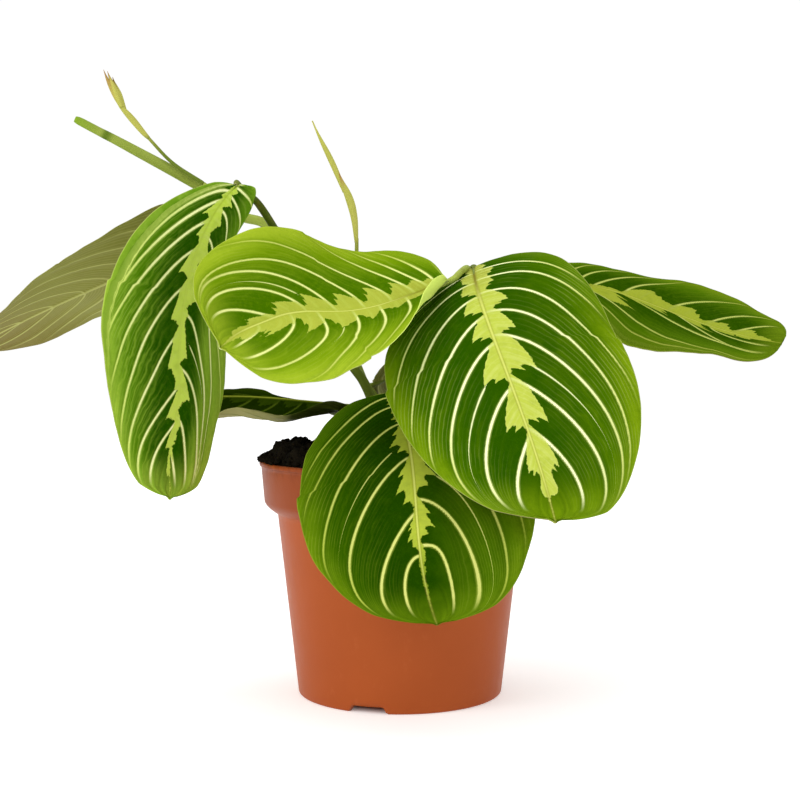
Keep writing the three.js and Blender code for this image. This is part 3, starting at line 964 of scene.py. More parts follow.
    def underside(self, name: str) -> Material:
        """Material of the underside.

        Args:
            name: Name of the material.

        Returns:
            The material.
        """
        sheet = NodeSheet(name)
        s, start = sheet.pair("Blade")
        reach, to_margin = sheet.pair("Reach")
        from_rib = reach.size()
        veins, gap = sheet.pair("Veins")
        share = from_rib / (from_rib + to_margin)
        part = veins.part()
        off = part.least(1.0 - part) * gap
        wander, broad = sheet.noise(1.6, 3.0), sheet.noise(11.0, 2.0)
        fine = ((start * 62.0).part() - 0.5).size().fall(0.06, 0.26)
        colour = sheet.coat(
            self.under,
            (s.rise(*self.turn), self.under_tip),
            ((broad - 0.4).most(0.0) * 0.3, self.under_tip),
            (fine * 0.25 + (wander - 0.5) * 0.2, self.under_vein),
            (off.fall(0.15, 0.75) * share.fall(0.7, 1.0), self.under_vein),
            (from_rib.fall(0.6, 1.3), self.under_vein),
        )
        # Painted light: the underside along the lower margin near the base is painted pale, as light shining
        # through a rolled margin.
        if self.hem_painted_light:
            colour = sheet.blend(s.fall(0.34, 0.5) * share.rise(0.45, 0.7), colour, self.hem_painted_light)
        height = off.fall(0.0, 1.0) * 0.8 + fine * 0.15 + wander * 0.2
        return sheet.finish(colour, 0.6, height, 0.2, Specular_IOR_Level=0.04, Specular_Tint=GREEN_SHEEN)


@dataclass
class Blade:
    """One leaf blade: a thin quilted sheet with a keel under its rib."""

    name: str
    node: str
    slot: str
    shape: BladeShape
    pattern: Pattern
    finish: LeafFinish
    seed: int
    rows: int = 170
    columns: int = 56
    thickness: float = 0.5
    margin_thickness: float = 0.28
    quilt: float = 0.5
    keel: float = 1.2
    ripple: float = 0.3

    def stations(self) -> tuple[Array, Array]:
        """Places of the grid's rows along the rib and of its columns across one half."""
        even = np.linspace(0, 1, self.rows)
        return 0.5 * even + 0.25 * (1 - np.cos(np.pi * even)), np.linspace(0, 1, self.columns)

    def relief(self, half: dict[str, Array]) -> tuple[Array, Array]:
        """Shift of the sheet between its veins, and thickness below it.

        Args:
            half: The maps of one half.

        Returns:
            The shift towards the upper face and the reach of the underside, in millimetres.
        """
        s = half["Blade"][..., 0]
        from_rib, to_margin = np.abs(half["Reach"][..., 0]), half["Reach"][..., 1]
        share = from_rib / (from_rib + to_margin)
        part = half["Veins"][..., 0] % 1
        off = np.minimum(part, 1 - part) * half["Veins"][..., 1]
        swell = np.sin(np.pi * part) ** 2 * ease(share, 0.04, 0.3) * (1 - ease(share, 0.75, 1.0))
        groove = 0.3 * np.exp(-(from_rib / 1.6) ** 2) * (1 - 0.7 * s)
        shift = self.quilt * swell - groove
        ridge = 0.16 * np.exp(-(off / 0.6) ** 2) * (1 - ease(share, 0.6, 1.0))
        keel = self.keel * (1 - 0.75 * s) * np.exp(-(from_rib / 1.15) ** 2)
        return shift, ridge + keel

    def waver(self, middle: Array, normal: Array, s: Array, q: Array) -> Array:
        """The sheet with small uneven waves along its margins.

        Args:
            middle: Points of the sheet.
            normal: Directions out of its upper face.
            s: Places along the rib.
            q: Places across, from -1 to 1.

        Returns:
            The moved points.
        """
        random = np.random.default_rng(self.seed)
        lift, reach = np.zeros_like(s), np.zeros_like(s)
        for waves in (2.3, 3.7, 5.3, 8.0, 12.0, 18.0):
            for side in (-1, 1):
                phase, other = random.uniform(0, 2 * np.pi), random.uniform(0, 2 * np.pi)
                rate = random.uniform(0.8, 1.2)
                here = (np.sign(q) == side) * (2.3 / waves) ** 1.1
                lift += here * np.sin(2 * np.pi * waves * rate * s + phase)
                reach += here * np.sin(2 * np.pi * waves * rate * s + other)
        ends = ease(s, 0.0, 0.05) * (1 - ease(s, 0.93, 1.0))
        outward = unit(np.gradient(middle, axis=1)) * np.sign(q)[..., None]
        moved = middle + normal * (self.ripple * lift * np.abs(q) ** 2.5 * ends)[..., None]
        return moved + outward * (self.ripple * 0.4 * reach * q ** 6 * ends)[..., None]

    def build(self) -> None:
        """Make the blade."""
        s, share = self.stations()
        across = np.r_[-share[:0:-1], share]
        grid_s, grid_q = np.meshgrid(s, across, indexing="ij")
        stray = self.pattern.stray(s)[:, None]
        middle = self.shape.surface(grid_s, stray + grid_q * np.where(grid_q < 0, 1 + stray, 1 - stray))
        normal = unit(np.cross(np.gradient(middle, axis=1), np.gradient(middle, axis=0)))
        middle = self.waver(middle, normal, grid_s, grid_q)
        rib = self.columns - 1
        halves = [
            PatternField(self.shape, self.pattern, 0).maps(s, share, middle[:, rib::-1]),
            PatternField(self.shape, self.pattern, 1).maps(s, share, middle[:, rib:]),
        ]
        reliefs = [self.relief(half) for half in halves]
        shift, below = (np.concatenate([left[:, :0:-1], right], 1) for left, right in zip(*reliefs))
        taper = self.margin_thickness + (self.thickness - self.margin_thickness) * (1 - np.abs(grid_q) ** 6)
        upper = middle + normal * (shift + taper / 2)[..., None]
        lower = middle + normal * (np.maximum(shift, -0.1) - taper / 2 - below)[..., None]
        shell = Shell()
        for number, half in enumerate(halves):
            columns = slice(rib, None) if number else slice(None, rib + 1)
            maps = {name: value if number else value[:, ::-1] for name, value in half.items()}
            chart = np.stack([
                grid_q[:, columns] * self.shape.half_width[number],
                grid_s[:, columns] * self.shape.spine(s)[4],
            ], -1)
            faces = grid_faces(self.rows, self.columns)
            shell.add(upper[:, columns], faces, maps, 0, chart)
            shell.add(lower[:, columns], faces[:, ::-1], maps, 1, chart)
        self.add_rim(shell, upper, lower, halves)
        piece = shell.build(self.name, [
            self.finish.upper(self.name + "_upper"),
            self.finish.underside(self.name + "_under"),
        ])
        place_piece(piece, self.node)

    def add_rim(self, shell: Shell, upper: Array, lower: Array, halves: list[dict[str, Array]]) -> None:
        """Close the sheet along its margin.

        Args:
            shell: The piece so far.
            upper: Points of the upper face.
            lower: Points of the underside.
            halves: The maps of both halves.
        """
        whole = {name: np.concatenate([halves[0][name][:, :0:-1], halves[1][name]], 1) for name in halves[0]}
        rows, columns = upper.shape[:2]
        far, wide = rows - 1, columns - 1
        row = np.r_[[0] * wide, np.arange(far), [far] * wide, np.arange(far, -1, -1)]
        column = np.r_[np.arange(wide), [wide] * far, np.arange(wide, 0, -1), [0] * (far + 1)]
        edge = np.stack([upper[row, column], lower[row, column]])
        maps = {name: np.stack([value[row, column]] * 2) for name, value in whole.items()}
        gone = np.r_[0, np.cumsum(np.linalg.norm(np.diff(edge[0], axis=0), axis=1))]
        chart = np.stack(np.broadcast_arrays([[0.0], [1.0]], gone), -1)
        shell.add(edge, grid_faces(2, len(row))[:, ::-1], maps, 1, chart * np.array([1.0, 0.4]))


@dataclass
class Tube:
    """A round tube on a smooth line.

    Attributes:
        points: What the line passes through.
        radii: Radius at each.
        tones: Tone at each, for the stem's colour.
        sides: Number of sides.
        spacing: Distance between rings in millimetres.
    """

    points: list[Array | Point]
    radii: list[float]
    tones: list[float]
    sides: int = 18
    spacing: float = 0.9

    def line(self) -> Array:
        """Rings along a smooth line through the points.

        Returns:
            Centre, radius and tone of each ring, one row a ring.
        """
        known = np.concatenate([np.array(self.points, float), np.c_[self.radii, self.tones]], 1)
        ends = np.concatenate([2 * known[:1] - known[1:2], known, 2 * known[-1:] - known[-2:-1]])
        steps = np.sqrt(np.linalg.norm(np.diff(ends[:, :3], axis=0), axis=1))[:, None]
        pieces = []
        for index in range(1, len(ends) - 2):
            before, here, there, beyond = ends[index - 1:index + 3]
            a, b, c = steps[index - 1], steps[index], steps[index + 1]
            leave = b * ((here - before) / a - (there - before) / (a + b) + (there - here) / b)
            arrive = b * ((there - here) / b - (beyond - here) / (b + c) + (beyond - there) / c)
            length = np.linalg.norm((there - here)[:3])
            t = np.linspace(0, 1, max(2, round(length / self.spacing) + 1), endpoint=False)[:, None]
            t2, t3 = t * t, t * t * t
            pieces.append((2 * t3 - 3 * t2 + 1) * here + (t3 - 2 * t2 + t) * leave
                          + (3 * t2 - 2 * t3) * there + (t3 - t2) * arrive)
        return np.concatenate([*pieces, ends[-2:-1]])

    @staticmethod
    def frames(centres: Array) -> tuple[Array, Array, Array]:
        """Directions along a line and two square to it, without twist.

        Args:
            centres: Points of the line.

        Returns:
            The directions along, and the two square to it.
        """
        along = unit(np.gradient(centres, axis=0))
        guide = np.array([0.0, 1.0, 0.0]) if abs(along[0][1]) < 0.8 else np.array([1.0, 0.0, 0.0])
        first = [unit(np.cross(along[0], guide))]
        for here in along[1:]:
            last = first[-1]
            first.append(unit(last - here * (last @ here)))
        one = np.array(first)
        return along, one, np.cross(along, one)

    def add_to(self, shell: Shell) -> None:
        """Add the tube, with rounded ends, to a piece.

        Args:
            shell: The piece.
        """
        line = self.line()
        along, one, two = self.frames(line[:, :3])
        caps = np.array([0.0, 0.5, 0.85])
        last = len(line) - 1
        pick = np.r_[0, 0, 0, np.arange(len(line)), last, last, last]
        bow = np.r_[caps, np.ones(len(line)), caps[::-1]]
        way = np.r_[-np.ones(3), np.zeros(len(line)), np.ones(3)]
        radii = np.maximum(bow ** 0.5 * line[pick, 3], 0.02)
        centres = line[pick, :3] + along[pick] * (way * (line[pick, 3] * (1 - bow) * 0.6))[:, None]
        turn = np.linspace(0, 2 * np.pi, self.sides, endpoint=False)
        ring = (np.cos(turn)[:, None] * one[pick][:, None] + np.sin(turn)[:, None] * two[pick][:, None])
        points = centres[:, None] + ring * radii[:, None, None]
        gone = np.r_[0, np.cumsum(np.linalg.norm(np.diff(centres, axis=0), axis=1))]
        values = np.stack([line[pick, 4], gone], -1)
        spread = {"Stem": np.repeat(values[:, None], self.sides, 1)}
        shell.add(points, grid_faces(len(points), self.sides, wrap=True), spread)
        for row, order in ((0, -1), (-1, 1)):
            hub = np.concatenate([points[row], centres[row][None]])
            maps = {"Stem": np.tile(values[row], (self.sides + 1, 1))}
            shell.add(hub, fan_faces(self.sides)[:, ::order], maps)


@dataclass(frozen=True)
class StemFinish:
    """Colours of stems: dark petioles at tone 0, pale sheaths at tone 1, faint warm streaks."""

    dark: Colour = (62, 78, 4)
    pale: Colour = (160, 176, 76)
    flush: Colour = (112, 100, 36)

    def material(self, name: str) -> Material:
        """The stem's material.

        Args:
            name: Name of the material.

        Returns:
            The material.
        """
        sheet = NodeSheet(name)
        tone, _ = sheet.pair("Stem")
        wander = sheet.noise(10.0)
        streak = sheet.noise(4.0, stretch=(1.0, 1.0, 0.3))
        warm = (streak - 0.5).most(0.0) * 1.6
        colour = sheet.coat(self.dark, (tone + (wander - 0.5) * 0.25, self.pale), (warm, self.flush))
        return sheet.finish(colour, 0.46, streak, 0.03, Specular_IOR_Level=0.08)


@dataclass
class Stems:
    """Shoots that rise from the soil: petioles, stems and sheaths."""

    leaves: dict[str, BladeShape]
    finish: StemFinish = StemFinish()
    foot: float = 82.0
    top: float = 110.0

    def shoot(self, name: str, node: str, root: Pair, radius: float, runs: list[Tube]) -> None:
        """Make one shoot.

        Args:
            name: Name of the piece.
            node: The node that it stands for.
            root: Place of its foot.
            radius: Radius of its foot.
            runs: Its tubes above the soil.
        """
        shell = Shell()
        Tube([(*root, self.foot), (*root, self.top + 1)], [radius, radius], [0.4, 0.4]).add_to(shell)
        for run in runs:
            run.add_to(shell)
        piece = shell.build(name, [self.finish.material(name + "_skin")])
        place_piece(piece, node)

    def left(self) -> None:
        """The shoot on the left, which carries four blades, the rolled leaf and both flower spikes."""
        petiole = Tube(
            [(-9, 8, 110), (-11, 7, 122), (-16, 4, 134), (-21, 3, 141), (-38, 5, 170.5), (-54.5, 8.5, 200),
             (-60.6, 10.5, 209.5), (-63, 7.5, 212.6), (-65.4, 3, 214.2), (-67, -2, 215.2),
             *self.leaves["left_front"].petiole_end(1.6, 2.0)],
            [2.6, 2.3, 2.1, 2, 1.8, 1.7, 1.7, 1.6, 1.5, 1.5, 1.3, 1.15, 1.0, 0.5],
            [0.5, 0.3, 0.2, 0.2, 0.1, 0, 0, 0, 0.1, 0.2, 0.3, 0.4, 0.5, 0.5],
        )
        stem = Tube(
            [(-15, 4.6, 132), (-22, 10, 148), (-36, 20, 177), (-50, 26, 196), (-62, 27, 205),
             (-71.4, 27, 207.7), (-80.2, 26.3, 214.9), (-88.2, 24, 219.7)],
            [1.8, 2, 2.1, 2.2, 2.2, 2.3, 2.6, 2.6],
            [0.5, 0.5, 0.6, 0.7, 0.8, 0.9, 1, 0.9],
        )
        stub = Tube([(-80.2, 25.5, 214.9), (-82.5, 19.8, 217.4), (-87.05, 18.55, 221.15)], [1.2, 1.1, 1],
                    [0.9, 0.9, 0.8])
        back = Tube(
            [(-71.4, 27, 207.7), (-82, 27, 212), (-91, 25, 211), (-96, 22.6, 206),
             *self.leaves["left_back"].petiole_end()],
            [1.5, 1.5, 1.6, 1.6, 1.6, 1.2, 1.0, 0.5], [0.7, 0.5, 0.4, 0.4, 0.5, 0.5, 0.5, 0.5],
        )
        stalk = Tube([(-19, 8, 143), (-21, 10, 155), (-20, 8, 172), (-19, 6, 186)], [1.4, 1.3, 1.1, 0.9],
                     [0.5, 0.6, 0.7, 0.8])
        low = Tube([(-10, 8, 114), (-10.5, 12, 119), *self.leaves["low_left"].petiole_end()],
                   [1.6, 1.6, 1.5, 1.2, 1.0, 0.5], [0.3] * 6)
        behind = Tube(
            [(-10, 9, 117), (-9.5, 12, 124), (-13, 15.5, 129.5), *self.leaves["low_back"].petiole_end()],
            [1.6, 1.6, 1.6, 1.5, 1.2, 1.0, 0.5], [0.3] * 7,
        )
        runs = [petiole, stem, stub, back, stalk, low, behind]
        self.shoot("stems_left", "shoot_left", (-9, 8), 2.6, runs)

    def right(self) -> None:
        """The shoot on the right, which carries three blades."""
        front = Tube(
            [(11, 8, 110), (12, 5, 125), (17, -3, 148), (24, -11, 169), (29, -20, 178.6),
             *self.leaves["right_front"].petiole_end()],
            [2.8, 2.5, 2.2, 1.9, 1.9, 1.7, 1.3, 1.1, 0.5], [0.5, 0.3, 0.2, 0.1, 0.1, 0.2, 0.3, 0.4, 0.4],
        )
        centre = Tube(
            [(28.5, -20, 178), (28, -26, 180.6), (26.4, -33, 180.4), (23.6, -38, 178),
             *self.leaves["centre"].petiole_end()],
            [1.6, 1.5, 1.4, 1.3, 1.3, 1.2, 1.0, 0.5], [0.4, 0.7, 0.9, 1, 1, 1, 1, 1],
        )
        back = Tube(
            [(12, 5, 122), (22, 4, 142), (40, 4, 160), (55, 6, 171),
             *self.leaves["right_back"].petiole_end()],
            [1.8, 1.7, 1.7, 1.7, 1.6, 1.2, 1.0, 0.5], [0.4, 0.3, 0.2, 0.2, 0.3, 0.4, 0.4, 0.4],
        )
        self.shoot("stems_right", "shoot_right", (11, 8), 2.8, [front, centre, back])

    def low(self) -> None:
        """The short shoot of the low front blade."""
        front = Tube([(0, -3, 110), (-1, -1, 119), (-3, -3, 127), *self.leaves["low_front"].petiole_end()],
                     [2.2, 2, 1.8, 1.7, 1.3, 1.1, 0.5], [0.4, 0.3, 0.3, 0.3, 0.4, 0.4, 0.4])
        self.shoot("stems_low", "shoot_low", (0, -3), 2.2, [front])


@dataclass(frozen=True)
class TenderFinish:
    """Colours of thin young parts: body with streaks of shade, tip at tone 1, stalk at tone -1."""

    body: Colour
    shade: Colour
    tip: Colour
    stalk: Colour

    def material(self, name: str) -> Material:
        """The part's material.

        Args:
            name: Name of the material.

        Returns:
            The material.
        """
        sheet = NodeSheet(name)
        tone, _ = sheet.pair("Stem")
        wander = sheet.noise(12.0)
        streak = sheet.noise(5.0)
        colour = sheet.coat(
            self.body,
            ((wander - 0.4).most(0.0) * 1.6, self.shade),
            (tone.rise(0.0, 1.0), self.tip),
            (tone.fall(-1.0, 0.0), self.stalk),
            ((streak - 0.5).most(0.0) * 0.6, self.shade),
        )
        return sheet.finish(colour, 0.5, streak, 0.02, Specular_IOR_Level=0.04)


def add_sheet(shell: Shell, outer: Array, inner: Array, values: Array) -> None:
    """Add a thin sheet bent round a line.

    Args:
        shell: The piece so far.
        outer: Points of its outer face, a row for each ring.
        inner: Points of its inner face.
        values: Tone and turn at the points.
    """
    faces = grid_faces(*outer.shape[:2])
    shell.add(outer, faces, {"Stem": values})
    shell.add(inner, faces[:, ::-1], {"Stem": values})
    every = slice(None)
    for pick, flip in (((every, 0), False), ((every, -1), True), ((0, every), True), ((-1, every), False)):
        edge = np.stack([outer[pick], inner[pick]])
        quads = grid_faces(2, edge.shape[1])
        shell.add(edge, quads[:, ::-1] if flip else quads, {"Stem": np.stack([values[pick]] * 2)})


@dataclass
class RolledLeaf:
    """The new leaf: a sheet still wound on itself, with its spiral end open."""

    finish: TenderFinish = TenderFinish((147, 162, 70), (132, 150, 54), (122, 152, 38), (84, 108, 24))
    points: tuple[Point, ...] = (
        (-88.6, 23.8, 220), (-101.3, 19.5, 227), (-116, 13.2, 234.7), (-124.6, 10, 239.2),
        (-128.4, 9, 241.1), (-131, 8.3, 242.4), (-139.9, 6, 247), (-141, 5.8, 247.5),
    )
    radii: tuple[float, ...] = (2.8, 2.75, 2.5, 2.3, 2.25, 2.15, 1.9, 1.5)
    tones: tuple[float, ...] = (0, 0, 0, -0.05, -0.8, 0, 0.8, 1)
    seam: float = 4.4
    turns: float = 2.3
    thickness: float = 0.42
    around: int = 30

    def build(self) -> None:
        """Make the rolled leaf."""
        line = Tube(list(self.points), list(self.radii), list(self.tones), spacing=1.0).line()
        _, one, two = Tube.frames(line[:, :3])
        turn = np.linspace(-self.turns * 2 * np.pi, 0, round(self.turns * self.around))
        share = 1 + 0.3 * turn / (2 * np.pi)
        outer = line[:, 3:4] * share
        inner = np.maximum(outer - self.thickness, 0.08)
        angle = turn[None, :, None] + self.seam
        ring = np.cos(angle) * one[:, None] + np.sin(angle) * two[:, None]
        faces_out = line[:, None, :3] + ring * outer[..., None]
        faces_in = line[:, None, :3] + ring * inner[..., None]
        shell = Shell()
        add_sheet(shell, faces_out, faces_in, np.stack(np.broadcast_arrays(line[:, 4:5], turn), -1))
        piece = shell.build("rolled_blade", [self.finish.material("rolled_blade_skin")])
        place_piece(piece, "rolled_leaf")


@dataclass
class Spike:
    """A flower spike: a stalk with pointed bracts that clasp it."""

    name: str
    node: str
    finish: TenderFinish
    stalk: Tube
    bracts: tuple[Tube, ...]
    thickness: float = 0.35

    def add_bract(self, shell: Shell, bract: Tube) -> None:
        """Add one bract: a pointed sheet folded round its own line.

        Args:
            shell: The spike so far.
            bract: Its line, radii and tones.
        """
        line = bract.line()
        _, one, two = Tube.frames(line[:, :3])
        place = np.linspace(0, 1, len(line))
        open_half = np.pi * (0.97 - 0.5 * ease(place, 0.25, 1.0))
        turn = np.linspace(-1, 1, 29)[None, :] * open_half[:, None]
        ring = np.cos(turn)[..., None] * one[:, None] + np.sin(turn)[..., None] * two[:, None]
        outer = line[:, None, :3] + ring * line[:, None, 3:4]
        inner = line[:, None, :3] + ring * np.maximum(line[:, None, 3:4] - self.thickness, 0.05)
        add_sheet(shell, outer, inner, np.stack(np.broadcast_arrays(line[:, 4:5], turn), -1))

    def build(self) -> None:
        """Make the spike."""
        shell = Shell()
        self.stalk.add_to(shell)
        for bract in self.bracts:
            self.add_bract(shell, bract)
        piece = shell.build(self.name, [self.finish.material(self.name + "_skin")])
        place_piece(piece, self.node)


@dataclass(frozen=True)
class PlasticFinish:
    """Satin moulded plastic: paler scuffs, darker clouds, painted shade on the collar and peat dust near the
    rim.
    """

    body: Colour = (163, 78, 33)
    dusty: Colour = (176, 92, 48)
    stain: Colour = (150, 69, 28)
    collar_shade_and_dust: Colour = (104, 44, 18)

    def material(self, name: str) -> Material:
        """The pot's material.

        Args:
            name: Name of the material.

        Returns:
            The material.
        """
        sheet = NodeSheet(name)
        cloud = sheet.noise(24.0, 4.0)
        speck = sheet.noise(0.6, 2.0)
        scuff = sheet.noise(5.0, 5.0, 0.7, (1.0, 1.0, 0.5))
        level = sheet.node("ShaderNodeSeparateXYZ", {0: sheet.where()}, "Z")
        # Painted shade: the whole collar is darkened as the shadow of the leaves over it; patchy darkening
        # near the rim stands for peat dust.
        collar_shade_and_dust = level.rise(0.076, 0.082) * 0.48 + level.rise(0.092, 0.1) * scuff.rise(0.35, 0.7) * 0.5
        colour = sheet.coat(
            self.body,
            ((cloud - 0.3).most(0.0) * 0.8, self.stain),
            (scuff.rise(0.56, 0.8) * 0.4, self.dusty),
            (collar_shade_and_dust, self.collar_shade_and_dust),
        )
        roughness = 0.42 + (scuff - 0.5) * 0.25
        return sheet.finish(colour, roughness, speck * 0.4 + scuff * 0.6, 0.05, Specular_IOR_Level=0.1)


@dataclass
class Pot:
    """The nursery pot: tapered body, curved shoulder, collar with a small lip, notched foot."""

    finish: PlasticFinish = PlasticFinish()
    base_radius: float = 43.9
    body_radius: float = 52.8
    body_height: float = 77.4
    collar_radius: float = 58.5
    collar_height: float = 83.4
    rim_radius: float = 60.0
    height: float = 100.0
    wall: float = 1.3
    lip: float = 0.6
    lip_height: float = 2.0
    ring_width: float = 3.2
    pad_radius: float = 14.0
    floor_under: float = 3.2
    floor_top: float = 4.4
    notch_bottom: float = 17.0
    notch_top: float = 13.0
    notch_height: float = 3.0
    notch_turn: float = 17.8
    notches: int = 3
    hole_radius: float = 4.0
    hole_circle: float = 27.0
    holes: int = 6
    drill_reach: Pair = (1.0, 7.0)
    drill_sides: int = 32
    floor_rings: Pair = (20.0, 34.0)
    columns: int = 288

    def outer(self, level: Array) -> Array:
        """Outer radius of the wall.

        Args:
            level: Heights above the pot's foot.

        Returns:
            The radius at each.
        """
        body = self.base_radius + (self.body_radius - self.base_radius) * level / self.body_height
        turn = np.clip((level - self.body_height) / (self.collar_height - self.body_height), 0, 1)
        shoulder = self.body_radius + (self.collar_radius - self.body_radius) * np.sin(turn * np.pi / 2)
        rise = (level - self.collar_height) / (self.height - self.collar_height)
        collar = self.collar_radius + (self.rim_radius - self.collar_radius) * rise
        upper = np.where(level <= self.collar_height, shoulder, collar)
        return np.where(level <= self.body_height, body, upper)

    def section(self) -> Array:
        """The wall's section, from the pad out and back in.

        Returns:
            Radius and height of each point.
        """
        levels = np.unique(np.concatenate([
            np.linspace(1.0, self.body_height, 40),
            np.linspace(self.body_height, self.collar_height, 14),
            np.linspace(self.collar_height, self.height - self.lip_height, 12),
        ]))
        ring = self.base_radius - self.ring_width
        near, far = self.floor_rings
        foot = [(self.pad_radius - 1.0, 0.0), (self.pad_radius, 0.0), (self.pad_radius + 0.5, 0.8),
                (self.pad_radius + 1, self.floor_under), (near, self.floor_under), (far, self.floor_under),
                (ring - 1, self.floor_under), (ring, 0.4), (ring + 0.3, 0.0), (self.base_radius - 0.9, 0.0),
                (self.base_radius - 0.4, 0.15), (self.base_radius - 0.05, 0.5)]
        outer = list(zip(self.outer(levels), levels))
        top, rim = self.height, self.rim_radius
        turn = np.linspace(0, np.pi / 2, 6)
        start = top - self.lip_height
        lip_low = [(rim + self.lip * math.sin(t) - 0.05, start + 0.45 * (1 - math.cos(t))) for t in turn]
        lip_high = [(rim + self.lip - 0.7 * (1 - math.cos(t)), top - 0.7 + 0.7 * math.sin(t)) for t in turn]
        bore = rim - self.wall
        inside = [(bore + 0.35, top), (bore + 0.1, top - 0.1), (bore, top - 0.4)]
        inner = [(radius - self.wall, level) for radius, level in outer[::-1] if level > self.floor_top + 1]
        corner = self.outer(np.array(self.floor_top)) - self.wall - 1.0
        floor = [(radius, self.floor_top) for radius in (corner, far, near, self.pad_radius)]
        return np.array([*foot, *outer, *lip_low, *lip_high, *inside, *inner, *floor], float)

    def lift(self, turn: Array) -> Array:
        """Height of the notches in the standing ring.

        Args:
            turn: Angles round the pot.

        Returns:
            The height at each.
        """
        lift = np.zeros_like(turn)
        for index in range(self.notches):
            middle = -np.pi / 2 - math.radians(self.notch_turn) + index * 2 * np.pi / self.notches
            off = np.abs((turn - middle + np.pi) % (2 * np.pi) - np.pi) * self.base_radius
            notch = 1 - ease(off, self.notch_top / 2, self.notch_bottom / 2)
            lift = np.maximum(lift, self.notch_height * notch)
        return lift

    def build(self) -> None:
        """Make the pot."""
        section = self.section()
        turn = np.linspace(0, 2 * np.pi, self.columns, endpoint=False)
        radius = np.repeat(section[:, :1], self.columns, 1)
        level = np.repeat(section[:, 1:], self.columns, 1)
        in_ring = (radius > self.base_radius - self.ring_width - 1.5) & (level < self.notch_height)
        outside = np.arange(len(section))[:, None] < len(section) // 2
        level = np.where(in_ring & outside, np.maximum(level, self.lift(turn)[None]), level)
        points = np.stack([radius * np.cos(turn), radius * np.sin(turn), level], -1)
        shell = Shell()
        shell.add_turned(points, (section[0, 1], section[-1, 1]))
        piece = shell.build("pot_shell", [self.finish.material("pot_plastic_skin")])
        self.drill(piece)
        place_piece(piece, "pot")

    def drill(self, piece: Object) -> None:
        """Cut the drain holes through the floor.

        Args:
            piece: The pot.
        """
        drills = Shell()
        sides = self.drill_sides
        turn = np.linspace(0, 2 * np.pi, sides, endpoint=False)
        for index in range(self.holes):
            where = index * 2 * np.pi / self.holes
            x = self.hole_circle * math.cos(where) + self.hole_radius * np.cos(turn)
            y = self.hole_circle * math.sin(where) + self.hole_radius * np.sin(turn)
            points = np.stack([np.stack([x, y, np.full(sides, level)], -1) for level in self.drill_reach])
            drills.add(points, grid_faces(2, sides, wrap=True))
            drills.add(points[0], np.arange(sides)[None, ::-1])
            drills.add(points[1], np.arange(sides)[None])
        tool = drills.build("drain_drill", [])
        cut = piece.modifiers.new("drain_holes", "BOOLEAN")
        cut.operation = "DIFFERENCE"
        cut.solver = "EXACT"
        cut.object = tool
        graph = bpy.context.evaluated_depsgraph_get()
        old = piece.data
        piece.data = bpy.data.meshes.new_from_object(piece.evaluated_get(graph))
        piece.modifiers.clear()
        bpy.data.objects.remove(tool)
        bpy.data.meshes.remove(old)


@dataclass(frozen=True)
class PeatFinish:
    """Dark crumbly peat, darker in the hollows of its relief, with paler fibres."""

    body: Colour = (25, 20, 13)
    hollow_dark: Colour = (12, 10, 7)
    fibre: Colour = (52, 38, 22)

    def material(self, name: str) -> Material:
        """The soil's material.

        Args:
            name: Name of the material.

        Returns:
            The material.
        """
        sheet = NodeSheet(name)
        lumps = sheet.noise(3.0, 6.0, 0.65)
        grit = sheet.cells(1.1)
        fibres = sheet.noise(1.2, 3.0).rise(0.62, 0.8) * 0.7
        # Darker where the relief is low, lighter on the lumps.
        colour = sheet.coat(self.hollow_dark, (lumps.rise(0.3, 0.7), self.body), (fibres, self.fibre))
        return sheet.finish(colour, 0.92, lumps * 0.6 + grit * 0.4, 0.5, Specular_IOR_Level=0.02)


